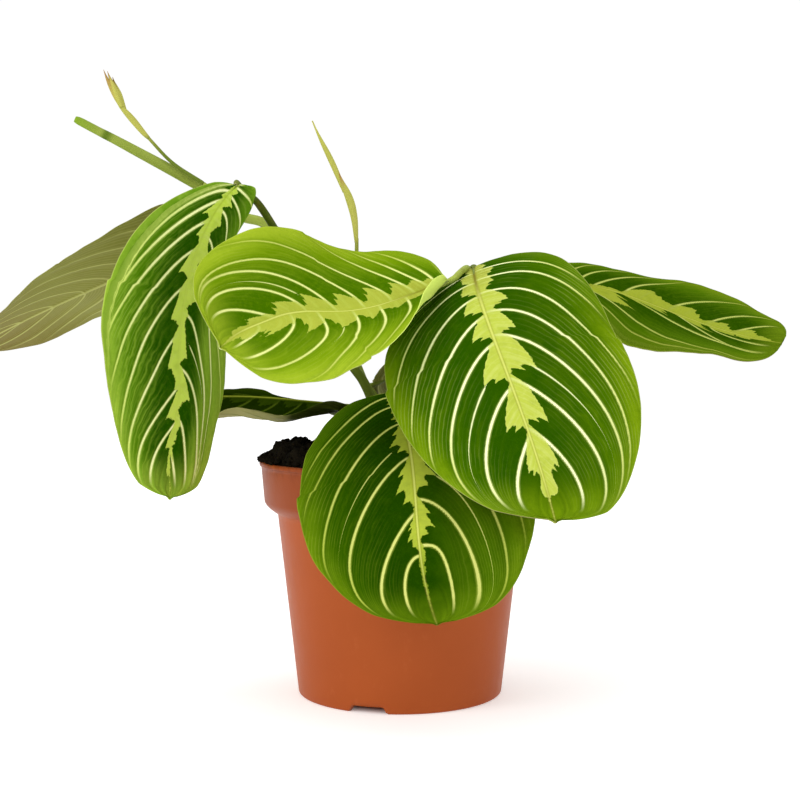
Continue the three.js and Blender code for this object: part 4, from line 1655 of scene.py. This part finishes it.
@dataclass
class Soil:
    """Peat in the pot: a rough heap with loose crumbs."""

    pot: Pot
    finish: PeatFinish = PeatFinish()
    heap: float = 105.5
    edge_height: float = 99.5
    shoulder: float = 4.5
    lump: float = 1.3
    side_gap: float = 0.4
    floor_gap: float = 0.3
    rings: int = 90
    columns: int = 240
    crumbs: int = 620
    spilled: int = 260
    crumb_size: Pair = (0.6, 1.9)
    rim_level: float = 100.3
    spill_turn: Pair = (186.0, 17.0)
    seed: int = 41

    def height(self, x: Array, y: Array, edge: float) -> Array:
        """Height of the heap without its fine roughness.

        Args:
            x: Places to the right.
            y: Places to the back.
            edge: Radius of the heap.

        Returns:
            The heights.
        """
        rise = np.clip((edge - np.hypot(x, y)) / self.shoulder, 0, 1)
        rough = np.sin(x * 0.35 + 1.3 * np.sin(y * 0.21)) + np.sin(y * 0.41 - x * 0.17 + 2)
        heap = self.edge_height + (self.heap - self.edge_height) * np.sin(rise * np.pi / 2)
        return heap + self.lump * rough * rise

    @staticmethod
    def roughness(x: Array, y: Array, random: np.random.Generator) -> Array:
        """Fine roughness: many small waves in random directions.

        Args:
            x: Places to the right.
            y: Places to the back.
            random: Source of the waves.

        Returns:
            The height of the roughness in millimetres.
        """
        total = np.zeros_like(x)
        for length, height in ((7.0, 0.42), (4.2, 0.36), (2.6, 0.3), (1.7, 0.2)):
            for _ in range(7):
                way = random.uniform(0, 2 * np.pi)
                wave = 2 * np.pi / (length * random.uniform(0.75, 1.3))
                phase = wave * (x * math.cos(way) + y * math.sin(way)) + random.uniform(0, 2 * np.pi)
                total += height * np.sin(phase + 0.8 * np.sin(phase * 0.37)) / 2
        return total

    def add_crumbs(self, shell: Shell, edge: float, random: np.random.Generator) -> None:
        """Scatter crumbs of peat on the heap.

        Args:
            shell: The soil so far.
            edge: Radius of the heap.
            random: Source of their places and forms.
        """
        golden = (1 + math.sqrt(5)) / 2
        corners = np.array([(-1, golden, 0), (1, golden, 0), (-1, -golden, 0), (1, -golden, 0),
                            (0, -1, golden), (0, 1, golden), (0, -1, -golden), (0, 1, -golden),
                            (golden, 0, -1), (golden, 0, 1), (-golden, 0, -1), (-golden, 0, 1)], float)
        sides = [(0, 11, 5), (0, 5, 1), (0, 1, 7), (0, 7, 10), (0, 10, 11), (1, 5, 9), (5, 11, 4),
                 (11, 10, 2), (10, 7, 6), (7, 1, 8), (3, 9, 4), (3, 4, 2), (3, 2, 6), (3, 6, 8),
                 (3, 8, 9), (4, 9, 5), (2, 4, 11), (6, 2, 10), (8, 6, 7), (9, 8, 1)]
        points, faces = self.split(unit(corners), sides)
        for number in range(self.crumbs + self.spilled):
            spilt = number >= self.crumbs
            if spilt:
                radius = random.uniform(edge - 3.5, edge + 4.2)
                turn = math.radians(random.normal(*self.spill_turn))
            else:
                radius = edge * math.sqrt(random.uniform(0, 1))
                turn = random.uniform(0, 2 * np.pi)
            x, y = radius * math.cos(turn), radius * math.sin(turn)
            size = random.uniform(*self.crumb_size) * (1 - 0.3 * radius / edge)
            form = points * (1 + random.uniform(-0.28, 0.28, (len(points), 1)))
            form = form * random.uniform(0.65, 1.2, 3)
            z = float(self.height(np.array(x), np.array(y), edge)) + size * 0.35
            if spilt:
                z = self.rim_level + random.uniform(0.4, 1.0) * (edge + 5.5 - radius) * 0.55
            shell.add(form * size + np.array([x, y, z]), faces)

    @staticmethod
    def split(points: Array, sides: list[tuple[int, int, int]]) -> tuple[Array, Array]:
        """A ball with each of its faces split in four.

        Args:
            points: The ball's points.
            sides: Its faces.

        Returns:
            The finer ball's points and faces.
        """
        known = [tuple(point) for point in points]
        middles: dict[tuple[int, int], int] = {}

        def middle(one: int, two: int) -> int:
            """Point half way between two.

            Args:
                one: Number of the first.
                two: Number of the second.

            Returns:
                Its number.
            """
            key = (min(one, two), max(one, two))
            if key not in middles:
                middles[key] = len(known)
                known.append(tuple(unit(np.array(known[one]) + np.array(known[two]))))
            return middles[key]

        faces = []
        for a, b, c in sides:
            ab, bc, ca = middle(a, b), middle(b, c), middle(c, a)
            faces += [(a, ab, ca), (b, bc, ab), (c, ca, bc), (ab, bc, ca)]
        return np.array(known), np.array(faces)

    def build(self) -> None:
        """Make the soil."""
        random = np.random.default_rng(self.seed)
        turn = np.linspace(0, 2 * np.pi, self.columns, endpoint=False)
        pot, low = self.pot, self.pot.floor_top + self.floor_gap
        levels = np.array([low, 40.0, pot.body_height, 80.0, pot.collar_height, self.edge_height - 0.5])
        side = pot.outer(levels) - pot.wall - self.side_gap
        wall = [np.stack([r * np.cos(turn), r * np.sin(turn), np.full_like(turn, z)], -1)
                for r, z in zip(side, levels)]
        edge = float(side[-1])
        radii = edge * (1 - np.linspace(0, 1, self.rings + 1)[:-1])
        x, y = radii[:, None] * np.cos(turn), radii[:, None] * np.sin(turn)
        fine = self.roughness(x, y, random) * ease(edge - radii, 0.0, 3.0)[:, None]
        top = np.stack([x, y, self.height(x, y, edge) + fine], -1)
        points = np.concatenate([wall, top[1:]])
        shell = Shell()
        shell.add_turned(points, (low, points[-1, :, 2].mean()))
        self.add_crumbs(shell, edge - 1.5, random)
        piece = shell.build("peat_heap", [self.finish.material("peat")])
        place_piece(piece, "soil")


class LampRole(Enum):
    """What each studio lamp does."""

    KEY = "key"
    FILL = "fill"
    TOP = "top"


@dataclass(frozen=True)
class Lamp:
    """One soft studio lamp, with its place, its panel's size and its aim in metres and its power in watts."""

    role: LampRole
    place: Point
    size: Pair
    power: float
    aim: Point = (0.0, 0.0, 0.14)

    def hang(self) -> None:
        """Add the lamp, turned to the plant."""
        data = bpy.data.lights.new("lamp_" + self.role.value, "AREA")
        data.shape = "RECTANGLE"
        data.size, data.size_y = self.size
        data.energy = self.power
        lamp = bpy.data.objects.new(data.name, data)
        away = np.array(self.place) - np.array(self.aim)
        flat = math.hypot(away[0], away[1])
        lamp.rotation_euler = (math.atan2(flat, away[2]), 0.0, math.atan2(away[1], away[0]) + math.pi / 2)
        lamp.location = self.place
        bpy.context.scene.collection.objects.link(lamp)


@dataclass(frozen=True)
class Studio:
    """White floor, even light and the camera at the photograph's viewpoint."""

    camera_place: Point = (0.0, -0.6, 0.146)
    camera_pitch: float = 1.92
    focal_pixels: float = 1388.0
    image_pixels: float = 800.0
    sensor: float = 36.0
    sky: float = 0.62
    backdrop: float = 1.02
    lamps: tuple[Lamp, ...] = (
        Lamp(LampRole.KEY, (-1.1, -0.7, 0.75), (0.8, 0.8), 9.5),
        Lamp(LampRole.FILL, (0.9, -0.9, 0.5), (0.9, 0.9), 3.0),
        Lamp(LampRole.TOP, (0.0, 0.1, 1.3), (1.2, 1.2), 6.5),
    )

    def build(self) -> None:
        """Set up camera, floor, sky and lamps."""
        scene = bpy.context.scene
        scene.view_settings.view_transform = "Standard"
        data = bpy.data.cameras.new("viewpoint")
        data.sensor_width = self.sensor
        data.lens = self.sensor * self.focal_pixels / self.image_pixels
        data.clip_end = 50.0
        camera = bpy.data.objects.new("viewpoint", data)
        camera.location = self.camera_place
        camera.rotation_euler = (math.radians(90 - self.camera_pitch), 0.0, 0.0)
        scene.collection.objects.link(camera)
        scene.camera = camera
        self.add_floor()
        self.add_sky()
        for lamp in self.lamps:
            lamp.hang()

    def add_floor(self) -> None:
        """A wide pale floor that glows as painted light, more with distance so that it looks evenly white,
        and not under the pot so that its foot's notches stay dark.
        """
        reach = 3000.0
        shell = Shell()
        corners = np.array([(-reach, -reach, 0), (reach, -reach, 0), (reach, reach, 0), (-reach, reach, 0)])
        shell.add(corners, np.arange(4)[None])
        sheet = NodeSheet("studio_floor")
        colour = sheet.blend(sheet.noise(400.0), (246, 246, 246), (250, 250, 250))
        distance = sheet.node("ShaderNodeVectorMath", {0: sheet.where()}, "Value", operation="LENGTH")
        # Painted light: the floor glows, more with distance from the pot, and not at all under it.
        glow = (0.36 + distance.rise(0.25, 1.2) * 0.24) * distance.rise(0.034, 0.046)
        sheet.feed(sheet.shader.inputs["Emission Strength"], glow)
        floor = shell.build("floor", [sheet.finish(colour, 0.9, Emission_Color=WHITE)])

    def add_sky(self) -> None:
        """Even white light from all sides, which itself looks pure white."""
        world = bpy.data.worlds.new("studio_sky")
        world.use_nodes = True
        tree = world.node_tree
        light = tree.nodes["Background"]
        shown = tree.nodes.new("ShaderNodeBackground")
        for back, strength in ((light, self.sky), (shown, self.backdrop)):
            back.inputs["Color"].default_value = WHITE
            back.inputs["Strength"].default_value = strength
        path = tree.nodes.new("ShaderNodeLightPath")
        either = tree.nodes.new("ShaderNodeMixShader")
        tree.links.new(path.outputs["Is Camera Ray"], either.inputs[0])
        tree.links.new(light.outputs[0], either.inputs[1])
        tree.links.new(shown.outputs[0], either.inputs[2])
        tree.links.new(either.outputs[0], tree.nodes["World Output"].inputs["Surface"])
        bpy.context.scene.world = world


DARK = LeafFinish(
    dark=(37, 76, 0), middle=(60, 98, 0), margin=(120, 150, 14), band=(180, 193, 72),
    band_base=(158, 164, 62), lean=(0.15, 0.0),
)
LOW = LeafFinish(
    dark=(26, 60, 0), middle=(50, 86, 0), margin=(98, 128, 12), band=(170, 184, 58),
    band_base=(146, 154, 44), vein=(204, 208, 116), vein_edge=(158, 174, 60), lean=(0.45, 0.0),
    edge=JAGGED_EDGE, band_fade=0.8,
)
LEFT = LeafFinish(
    dark=(32, 78, 0), middle=(84, 132, 8), margin=(162, 196, 62), band=(206, 230, 90),
    band_base=(184, 210, 66), vein=(246, 252, 180), vein_edge=(204, 224, 104), rib=(208, 228, 98),
    rib_base=(158, 180, 52), spread=(0.7, 1.08), sunk=0.95, seam=0.12, rib_show=0.4, feather=0.7,
    lean=(1.15, 0.1), lean_spread=(0.2, 0.6), vein_half=0.56, edge=SOFT_EDGE, band_fade=0.3,
)
# The centre blade's underside colours, and most of all its hem, are painted pale as light shining through its
# rolled lower margin, which lies in shade between two blades.
LIGHT = LeafFinish(
    dark=(62, 102, 0), middle=(114, 146, 8), margin=(160, 182, 42), band=(168, 178, 62),
    band_base=(154, 160, 54), vein=(220, 226, 142), vein_edge=(176, 190, 76), under=(176, 188, 104),
    under_tip=(160, 168, 88), under_vein=(198, 208, 136), rib_base=(132, 134, 40), seam=0.2,
    hem_painted_light=(214, 234, 110), lean=(0.15, 0.05),
)
BACK = LeafFinish(
    dark=(38, 72, 0), middle=(76, 110, 5), margin=(108, 132, 20), band=(152, 164, 48),
    band_base=(140, 156, 34), vein=(178, 188, 96), vein_edge=(150, 162, 62), sunk=0.9, rib=(178, 184, 78),
    rib_base=(124, 132, 30),
)
GREY = LeafFinish(
    dark=(52, 86, 4), middle=(72, 106, 10), margin=(104, 134, 30), band=(170, 184, 74),
    band_base=(150, 160, 56), under=(130, 132, 62), under_tip=(120, 108, 60), under_vein=(172, 174, 102),
)
# Painted shade: the low left blade's colours are darkened because it lies in shade below and behind the
# others, and its underside is painted dark near the base.
SHADED = LeafFinish(
    dark=(22, 38, 0), middle=(32, 50, 0), margin=(58, 70, 10), band=(40, 58, 2), band_base=(40, 58, 2),
    vein=(68, 84, 18), vein_edge=(50, 68, 8), rib=(134, 142, 46), rib_base=(120, 128, 40), rib_show=1.0,
    under=(46, 58, 4), under_tip=(146, 143, 90), under_vein=(86, 98, 28), turn=(0.37, 0.43),
)


# Form of each blade, by place
SHAPES = {
    "left_front": BladeShape(
        rib=((-69, -8, 217.5), (-99, -38, 179), (-91, -20, 123), (-98, -12, 84)),
        across=((-0.65, -0.75, 0), (-0.55, -0.8, 0.1), (-0.75, -0.65, 0.15)),
        half_width=(39, 39.5), widest=0.38, base_round=0.5, tip_round=0.48,
        fold=(1, -6), curl=(30, 19), roll=(45, 0), lobe=3.5, wave=(-5, 1), waves=1.6, phase=(-0.2, 0.05),
    ),
    "centre": BladeShape(
        rib=((18.5, -41, 175.5), (-13, -43, 158), (-43, -54, 170), (-68, -76, 148)),
        across=((-0.2, 0.9, 0.4), (-0.35, 0.7, 0.6), (-0.65, 0.1, 0.75)),
        half_width=(41.3, 46), widest=0.47, base_round=0.5, tip_round=0.41,
        fold=(-10, -10), curl=(3, 8), lobe=1.5, wave=(-0.5, 3), waves=1.8, phase=(0.05, 0.2),
        roll=(-150, 0),
    ),
    "right_front": BladeShape(
        rib=((30, -30, 181), (28, -89, 162), (47, -84, 127), (56, -102, 85)),
        across=((-0.95, 0.05, -0.3), (-1, 0, -0.2), (-1, -0.15, 0.05)),
        half_width=(48, 48), widest=0.45, base_round=0.45, tip_round=0.44,
        fold=(1, 4), curl=(20, 36), lobe=3.5, wave=(-6, 4), waves=1.5, phase=(-0.35, -0.2),
    ),
    "low_front": BladeShape(
        rib=((-4, -14, 129), (11, -73, 107), (1, -105, 81), (14, -81, 44)),
        across=((-1, -0.15, -0.1), (-1, 0, -0.1), (-1, 0.1, -0.1)),
        half_width=(46.5, 45.5), widest=0.48, base_round=0.48, tip_round=0.38,
        fold=(0, 2), curl=(24, 18), lobe=2,
    ),
    "right_back": BladeShape(
        rib=((66, 10, 175), (95, 25, 183), (127, 33, 157), (172.5, 27, 150.5)),
        across=((0.15, -0.9, -0.4), (-0.3, -0.85, -0.45), (-0.45, -0.8, -0.45)),
        half_width=(40.5, 39), widest=0.41, base_round=0.5, tip_round=0.32,
        fold=(-4, -10), curl=(19, 19), lobe=4, wave=(2.5, 4.5), waves=1.4, phase=(0.3, 0.2), apex=0,
    ),
    "left_back": BladeShape(
        rib=((-98, 21, 200), (-112, 18, 180), (-140, 40, 181), (-201, 41, 147)),
        across=((0.3, 0.65, -0.7), (0.25, 0.95, -0.25), (0.05, 1, -0.15)),
        half_width=(39, 37.5), widest=0.4, base_round=0.45, tip_round=0.49,
        fold=(2, -5), curl=(14, 17), lobe=6, wave=(-1.5, -4.5), waves=1.5,
    ),
    "low_left": BladeShape(
        rib=((-15, 20, 123), (-45, 34, 124), (-76, 42, 129.5), (-104, 42, 124)),
        across=((0, 0.8, -0.6), (0, 1, 0.1), (0, 1, 0.15)),
        half_width=(26, 25), widest=0.42, base_round=0.5, tip_round=0.45,
        fold=(72, 6), curl=(-128, -2), lobe=3, wave=(-3.5, 1), waves=1.8, phase=(-0.506, 0), roll=(20, 0),
    ),
    "low_back": BladeShape(
        rib=((-12, 20, 133), (6, 32, 140), (28, 48, 142), (50, 66, 134)),
        across=((0.35, -0.65, 0.65), (0.4, -0.75, 0.5), (0.45, -0.8, 0.4)),
        half_width=(26, 26), widest=0.42, base_round=0.5, tip_round=0.45,
        fold=(0, 0), curl=(12, 12), lobe=3,
    ),
}


PLAIN_HALF = BladeHalf(
    veins=(
        (0.05, 0.07, 0.45, 0.2, 0.85), (0.13, 0.17, 0.4, 0.4, 0.86), (0.23, 0.3, 0.38, 0.56, 0.84),
        (0.34, 0.42, 0.32, 0.7, 0.84), (0.46, 0.55, 0.3, 0.78, 0.74), (0.6, 0.68, 0.24, 0.86, 0.6),
        (0.74, 0.82, 0.18, 0.94, 0.42),
    ),
    teeth=(
        (0.2, 0.1, 0.22, 0.12), (0.14, 0.2, 0.2, 0.06), (0.12, 0.31, 0.2, 0.05), (0.1, 0.43, 0.18, 0.04),
        (0.1, 0.57, 0.18, 0.03), (0.08, 0.71, 0.15, 0.03), (0.08, 0.85, 0.1, 0.04),
    ),
)
PATTERNS = {
    "right_front": Pattern(left=BladeHalf(
        veins=(
            (0.05, 0.065, 0.5, 0.2, 0.9), (0.13, 0.14, 0.4, 0.3, 0.88), (0.221, 0.26, 0.45, 0.55, 0.88),
            (0.32, 0.36, 0.35, 0.7, 0.83), (0.414, 0.5, 0.36, 0.8, 0.82), (0.564, 0.66, 0.28, 0.82, 0.6),
            (0.72, 0.78, 0.17, 0.94, 0.49),
        ),
        teeth=(
            (0.3, 0.075, 0.28, 0.15), (0.16, 0.165, 0.18, 0.08), (0.14, 0.28, 0.23, 0.08),
            (0.11, 0.4, 0.19, 0.08), (0.14, 0.543, 0.23, 0.02), (0.12, 0.707, 0.19, 0.02),
            (0.13, 0.832, 0.19, 0.1),
        ),
        minor=(0.6, 0.36, 0.2, 0.75),
    ), right=BladeHalf(
        veins=(
            (0.064, 0.075, 0.3, 0.12, 0.7), (0.146, 0.175, 0.35, 0.4, 0.83), (0.239, 0.28, 0.27, 0.58, 0.84),
            (0.336, 0.4, 0.27, 0.72, 0.86), (0.443, 0.52, 0.28, 0.8, 0.78), (0.593, 0.66, 0.2, 0.84, 0.53),
            (0.743, 0.82, 0.17, 0.94, 0.42),
        ),
        teeth=(
            (0.2, 0.13, 0.16, 0.08), (0.15, 0.21, 0.17, 0.02), (0.12, 0.31, 0.17, 0.01),
            (0.08, 0.42, 0.17, 0.01), (0.05, 0.571, 0.2, 0.01), (0.04, 0.72, 0.17, 0.01),
            (0.06, 0.85, 0.13, 0.03),
        ),
        minor=(0.64, 0.34, 0.2, 0.85),
    ), band_end=(0.9, 0.935)),
    "low_front": Pattern(left=BladeHalf(
        veins=(
            (0.04, 0.06, 0.5, 0.2, 0.88), (0.14, 0.17, 0.4, 0.36, 0.86), (0.25, 0.625, 0.83, 0.74, 0.93),
            (0.38, 0.59, 0.55, 0.86, 0.85), (0.6, 0.68, 0.3, 0.9, 0.6), (0.743, 0.8, 0.22, 0.94, 0.3),
        ),
        teeth=(
            (0.11, 0.1, 0.17, 0.03), (0.08, 0.2, 0.15, 0.03), (0.06, 0.34, 0.18, 0.01),
            (0.04, 0.515, 0.18, 0.01), (0.04, 0.69, 0.14, 0.01), (0.03, 0.78, 0.05, 0.01),
        ),
        minor=(0.7, 0.52, 0.18, 0.9),
    ), right=BladeHalf(
        veins=(
            (0.032, 0.07, 0.45, 0.3, 0.86), (0.107, 0.17, 0.4, 0.46, 0.85), (0.229, 0.34, 0.38, 0.7, 0.84),
            (0.421, 0.5, 0.23, 0.8, 0.7), (0.643, 0.74, 0.24, 0.93, 0.6), (0.771, 0.86, 0.22, 0.94, 0.3),
        ),
        teeth=(
            (0.11, 0.09, 0.15, 0.03), (0.08, 0.2, 0.12, 0.03), (0.04, 0.365, 0.18, 0.01),
            (0.03, 0.575, 0.16, 0.01), (0.02, 0.73, 0.1, 0.01), (0.02, 0.85, 0.03, 0.01),
        ),
        minor=(0.44, 0.28, 0.17, 0.8),
    ), band_end=(0.78, 0.95)),
    "left_front": Pattern(left=BladeHalf(
        veins=(
            (0.01, 0.025, 0.3, 0.06, 0.67), (0.045, 0.07, 0.25, 0.136, 0.655),
            (0.107, 0.15, 0.33, 0.207, 0.49), (0.2, 0.25, 0.29, 0.4, 0.6), (0.31, 0.43, 0.49, 0.65, 0.66),
            (0.44, 0.5, 0.29, 0.714, 0.555), (0.6, 0.643, 0.27, 0.843, 0.52), (0.75, 0.8, 0.18, 0.93, 0.36),
            (0.85, 0.89, 0.0, 0.95, 0.1),
        ),
        teeth=(
            (0.14, 0.03, 0.22, 0.1), (0.14, 0.071, 0.26, 0.05), (0.13, 0.154, 0.21, 0.08),
            (0.13, 0.27, 0.22, 0.07), (0.15, 0.4, 0.23, 0.05), (0.09, 0.565, 0.16, 0.04),
            (0.12, 0.69, 0.24, 0.06), (0.09, 0.815, 0.04, -0.02), (-0.05, 0.93, -0.04, -0.06),
        ),
        minor=(0.56, 0.27, 0.16, 0.5),
    ), right=BladeHalf(
        veins=(
            (0.03, 0.043, 0.47, 0.115, 0.67), (0.07, 0.12, 0.38, 0.29, 0.73), (0.15, 0.21, 0.33, 0.4, 0.73),
            (0.246, 0.31, 0.29, 0.5, 0.68), (0.357, 0.43, 0.27, 0.6, 0.6), (0.493, 0.56, 0.2, 0.71, 0.55),
            (0.65, 0.69, 0.09, 0.81, 0.53), (0.764, 0.82, 0.2, 0.93, 0.57),
        ),
        teeth=(
            (0.18, 0.05, 0.24, 0.1), (0.18, 0.12, 0.27, 0.08), (0.11, 0.2, 0.14, 0.01),
            (0.11, 0.314, 0.19, 0.01), (0.11, 0.46, 0.16, 0.01), (0.07, 0.6, 0.14, 0.01),
            (-0.02, 0.75, 0.15, 0.01), (0.09, 0.84, 0.17, 0.07),
        ),
    ), meander=(
        (0.0, 0.0), (0.05, 0.03), (0.4, -0.02), (0.55, -0.03), (0.65, -0.09), (0.75, -0.04), (0.83, 0.07),
        (0.9, 0.1), (1.0, 0.0),
    )),
    "centre": Pattern(left=BladeHalf(
        veins=(
            (0.07, 0.085, 0.5, 0.16, 0.85), (0.18, 0.193, 0.47, 0.29, 0.8), (0.3, 0.32, 0.53, 0.5, 0.88),
            (0.414, 0.457, 0.555, 0.6, 0.8), (0.554, 0.6, 0.47, 0.75, 0.635), (0.664, 0.71, 0.24, 0.82, 0.38),
            (0.81, 0.85, 0.1, 0.93, 0.15),
        ),
        teeth=(
            (0.16, 0.13, 0.22, 0.17), (0.19, 0.235, 0.31, 0.19), (0.2, 0.36, 0.39, 0.21),
            (0.28, 0.5, 0.39, 0.19), (0.2, 0.65, 0.33, 0.05), (0.12, 0.78, 0.2, 0.1),
            (0.12, 0.86, 0.13, 0.06),
        ),
        minor=(0.525, 0.5, 0.38, 0.62),
    ), right=BladeHalf(
        veins=(
            (0.045, 0.07, 0.47, 0.13, 0.73), (0.075, 0.12, 0.32, 0.23, 0.71), (0.14, 0.19, 0.3, 0.37, 0.78),
            (0.24, 0.29, 0.25, 0.5, 0.66), (0.357, 0.42, 0.25, 0.62, 0.6), (0.47, 0.535, 0.22, 0.73, 0.57),
            (0.593, 0.67, 0.25, 0.83, 0.49), (0.73, 0.8, 0.13, 0.92, 0.4),
        ),
        teeth=(
            (0.22, 0.065, 0.25, 0.2), (0.25, 0.13, 0.27, 0.2), (0.2, 0.215, 0.28, 0.1),
            (0.17, 0.335, 0.23, 0.03), (0.12, 0.46, 0.18, 0.03), (0.14, 0.59, 0.2, 0.07),
            (0.13, 0.71, 0.17, 0.05), (0.07, 0.84, 0.11, 0.06),
        ),
        minor=(0.64, 0.29, 0.2, 0.6),
    ), meander=(
        (0.0, 0.0), (0.07, 0.03), (0.2, 0.0), (0.3, -0.07), (0.4, -0.09), (0.46, -0.07), (0.57, 0.01),
        (0.68, 0.03), (0.79, 0.01), (0.93, 0.03), (1.0, 0.0),
    )),
    "right_back": Pattern(left=BladeHalf(
        veins=(
            (0.06, 0.09, 0.4, 0.18, 0.75), (0.12, 0.17, 0.33, 0.27, 0.65), (0.19, 0.25, 0.22, 0.36, 0.6),
            (0.33, 0.4, 0.4, 0.51, 0.8), (0.53, 0.57, 0.25, 0.71, 0.69), (0.69, 0.73, 0.22, 0.84, 0.64),
            (0.8, 0.86, 0.22, 0.9, 0.45),
        ),
        teeth=(
            (0.15, 0.1, 0.15, 0.08), (0.06, 0.17, 0.06, 0.04), (0.05, 0.28, 0.06, 0.04),
            (0.16, 0.45, 0.3, 0.16), (0.2, 0.63, 0.23, 0.07), (0.1, 0.77, 0.17, 0.05), (0.15, 0.88, 0.2, 0.1),
        ),
    ), right=BladeHalf(
        veins=(
            (0.05, 0.25, 0.7, 0.6, 0.88), (0.09, 0.31, 0.49, 0.71, 0.82), (0.34, 0.5, 0.24, 0.71, 0.46),
            (0.55, 0.64, 0.19, 0.75, 0.42), (0.71, 0.78, 0.2, 0.9, 0.29),
        ),
        teeth=(
            (0.3, 0.08, 0.35, 0.3), (0.42, 0.33, 0.4, 0.03), (0.06, 0.53, 0.2, 0.03),
            (0.05, 0.69, 0.27, 0.03), (0.1, 0.85, 0.15, 0.06),
        ),
    )),
}


def make_blades() -> None:
    """Make the eight blades."""
    finishes = {
        "left_front": LEFT, "centre": LIGHT, "right_front": DARK, "low_front": LOW, "right_back": BACK,
        "left_back": GREY, "low_left": SHADED, "low_back": GREY,
    }
    slots = {"centre": "leaf_light", "left_back": "leaf_grey", "low_back": "leaf_grey"}
    small = ("low_left", "low_back")
    for number, (place, shape) in enumerate(SHAPES.items()):
        fineness = {"rows": 100, "columns": 36} if place in small else {}
        Blade(
            name="blade_" + place,
            node="leaf_" + place,
            slot=slots.get(place, "leaf_dark"),
            shape=shape,
            pattern=PATTERNS.get(place, Pattern(PLAIN_HALF, PLAIN_HALF)),
            finish=finishes[place],
            seed=number + 3,
            **fineness,
        ).build()


def make_spikes() -> None:
    """Make both flower spikes."""
    bract = TenderFinish(body=(180, 178, 86), shade=(158, 162, 68), tip=(152, 112, 64), stalk=(104, 122, 42))
    Spike(
        name="spike_left",
        node="flower_spike_left",
        finish=bract,
        stalk=Tube([(-87.4, 18.5, 221.4), (-100.7, 16.3, 230.3), (-111.5, 15.5, 241.6)], [1, 0.8, 0.7],
                   [-1, -1, -0.5]),
        bracts=(
            Tube([(-110.8, 15.6, 240.9), (-112.6, 15.4, 242.7), (-117.3, 14.8, 248.4), (-120.4, 14.3, 252.4),
                  (-122.6, 14, 255.6), (-124.2, 13.7, 258.6)], [0.8, 1.1, 1.5, 1.55, 1.5, 1.3],
                 [-0.5, -0.1, 0, 0, 0.1, 0.2], spacing=0.7),
            Tube([(-121.2, 14, 253), (-124.2, 13.4, 258.6), (-127.1, 13, 264.4), (-129.8, 12.6, 270.3)],
                 [1.1, 1.6, 1.3, 0.2], [0, 0.3, 0.6, 1], spacing=0.5),
            Tube([(-122, 13.2, 254), (-124.8, 12.8, 261), (-126.5, 12.6, 266), (-128.1, 12.6, 269.6)],
                 [1, 1.4, 1, 0.2], [0, 0.1, 0.4, 0.9], spacing=0.5),
            Tube([(-121.2, 14.1, 253.6), (-123.2, 13.8, 258.8), (-124.5, 13.4, 263.4), (-126, 13.2, 267.3)],
                 [0.9, 1.4, 1, 0.2], [0, 0, 0.3, 0.9], spacing=0.5),
        ),
    ).build()
    Spike(
        name="spike_middle",
        node="flower_spike_middle",
        finish=bract,
        stalk=Tube([(-18.9, 5.8, 186.4), (-18.8, 5.5, 196)], [0.9, 0.8], [-0.8, -0.4]),
        bracts=(
            Tube([(-18.9, 5.5, 194), (-19.9, 5, 205), (-22.4, 4.6, 215.5), (-24.4, 4.3, 220.6),
                  (-26.4, 4, 224.5)], [0.8, 1.5, 2.05, 1.6, 0.4], [-0.3, 0, 0, 0.5, 1], spacing=0.7),
            Tube([(-24, 4.8, 216), (-28.2, 4.4, 226), (-33, 3.6, 236.5), (-37.6, 3, 246.5)],
                 [0.9, 1.25, 1.2, 0.6], [0, 0, 0, 0.2], spacing=0.7),
        ),
    ).build()


def main() -> None:
    """Build the plant, piece by piece, and the studio round it."""
    logging.basicConfig(level=logging.INFO, format="%(name)s %(message)s")
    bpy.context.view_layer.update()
    Studio().build()
    pot = Pot()
    pot.build()
    Soil(pot).build()
    make_blades()
    stems = Stems(SHAPES)
    stems.left()
    stems.right()
    stems.low()
    RolledLeaf().build()
    make_spikes()


if __name__ == "__main__":
    main()
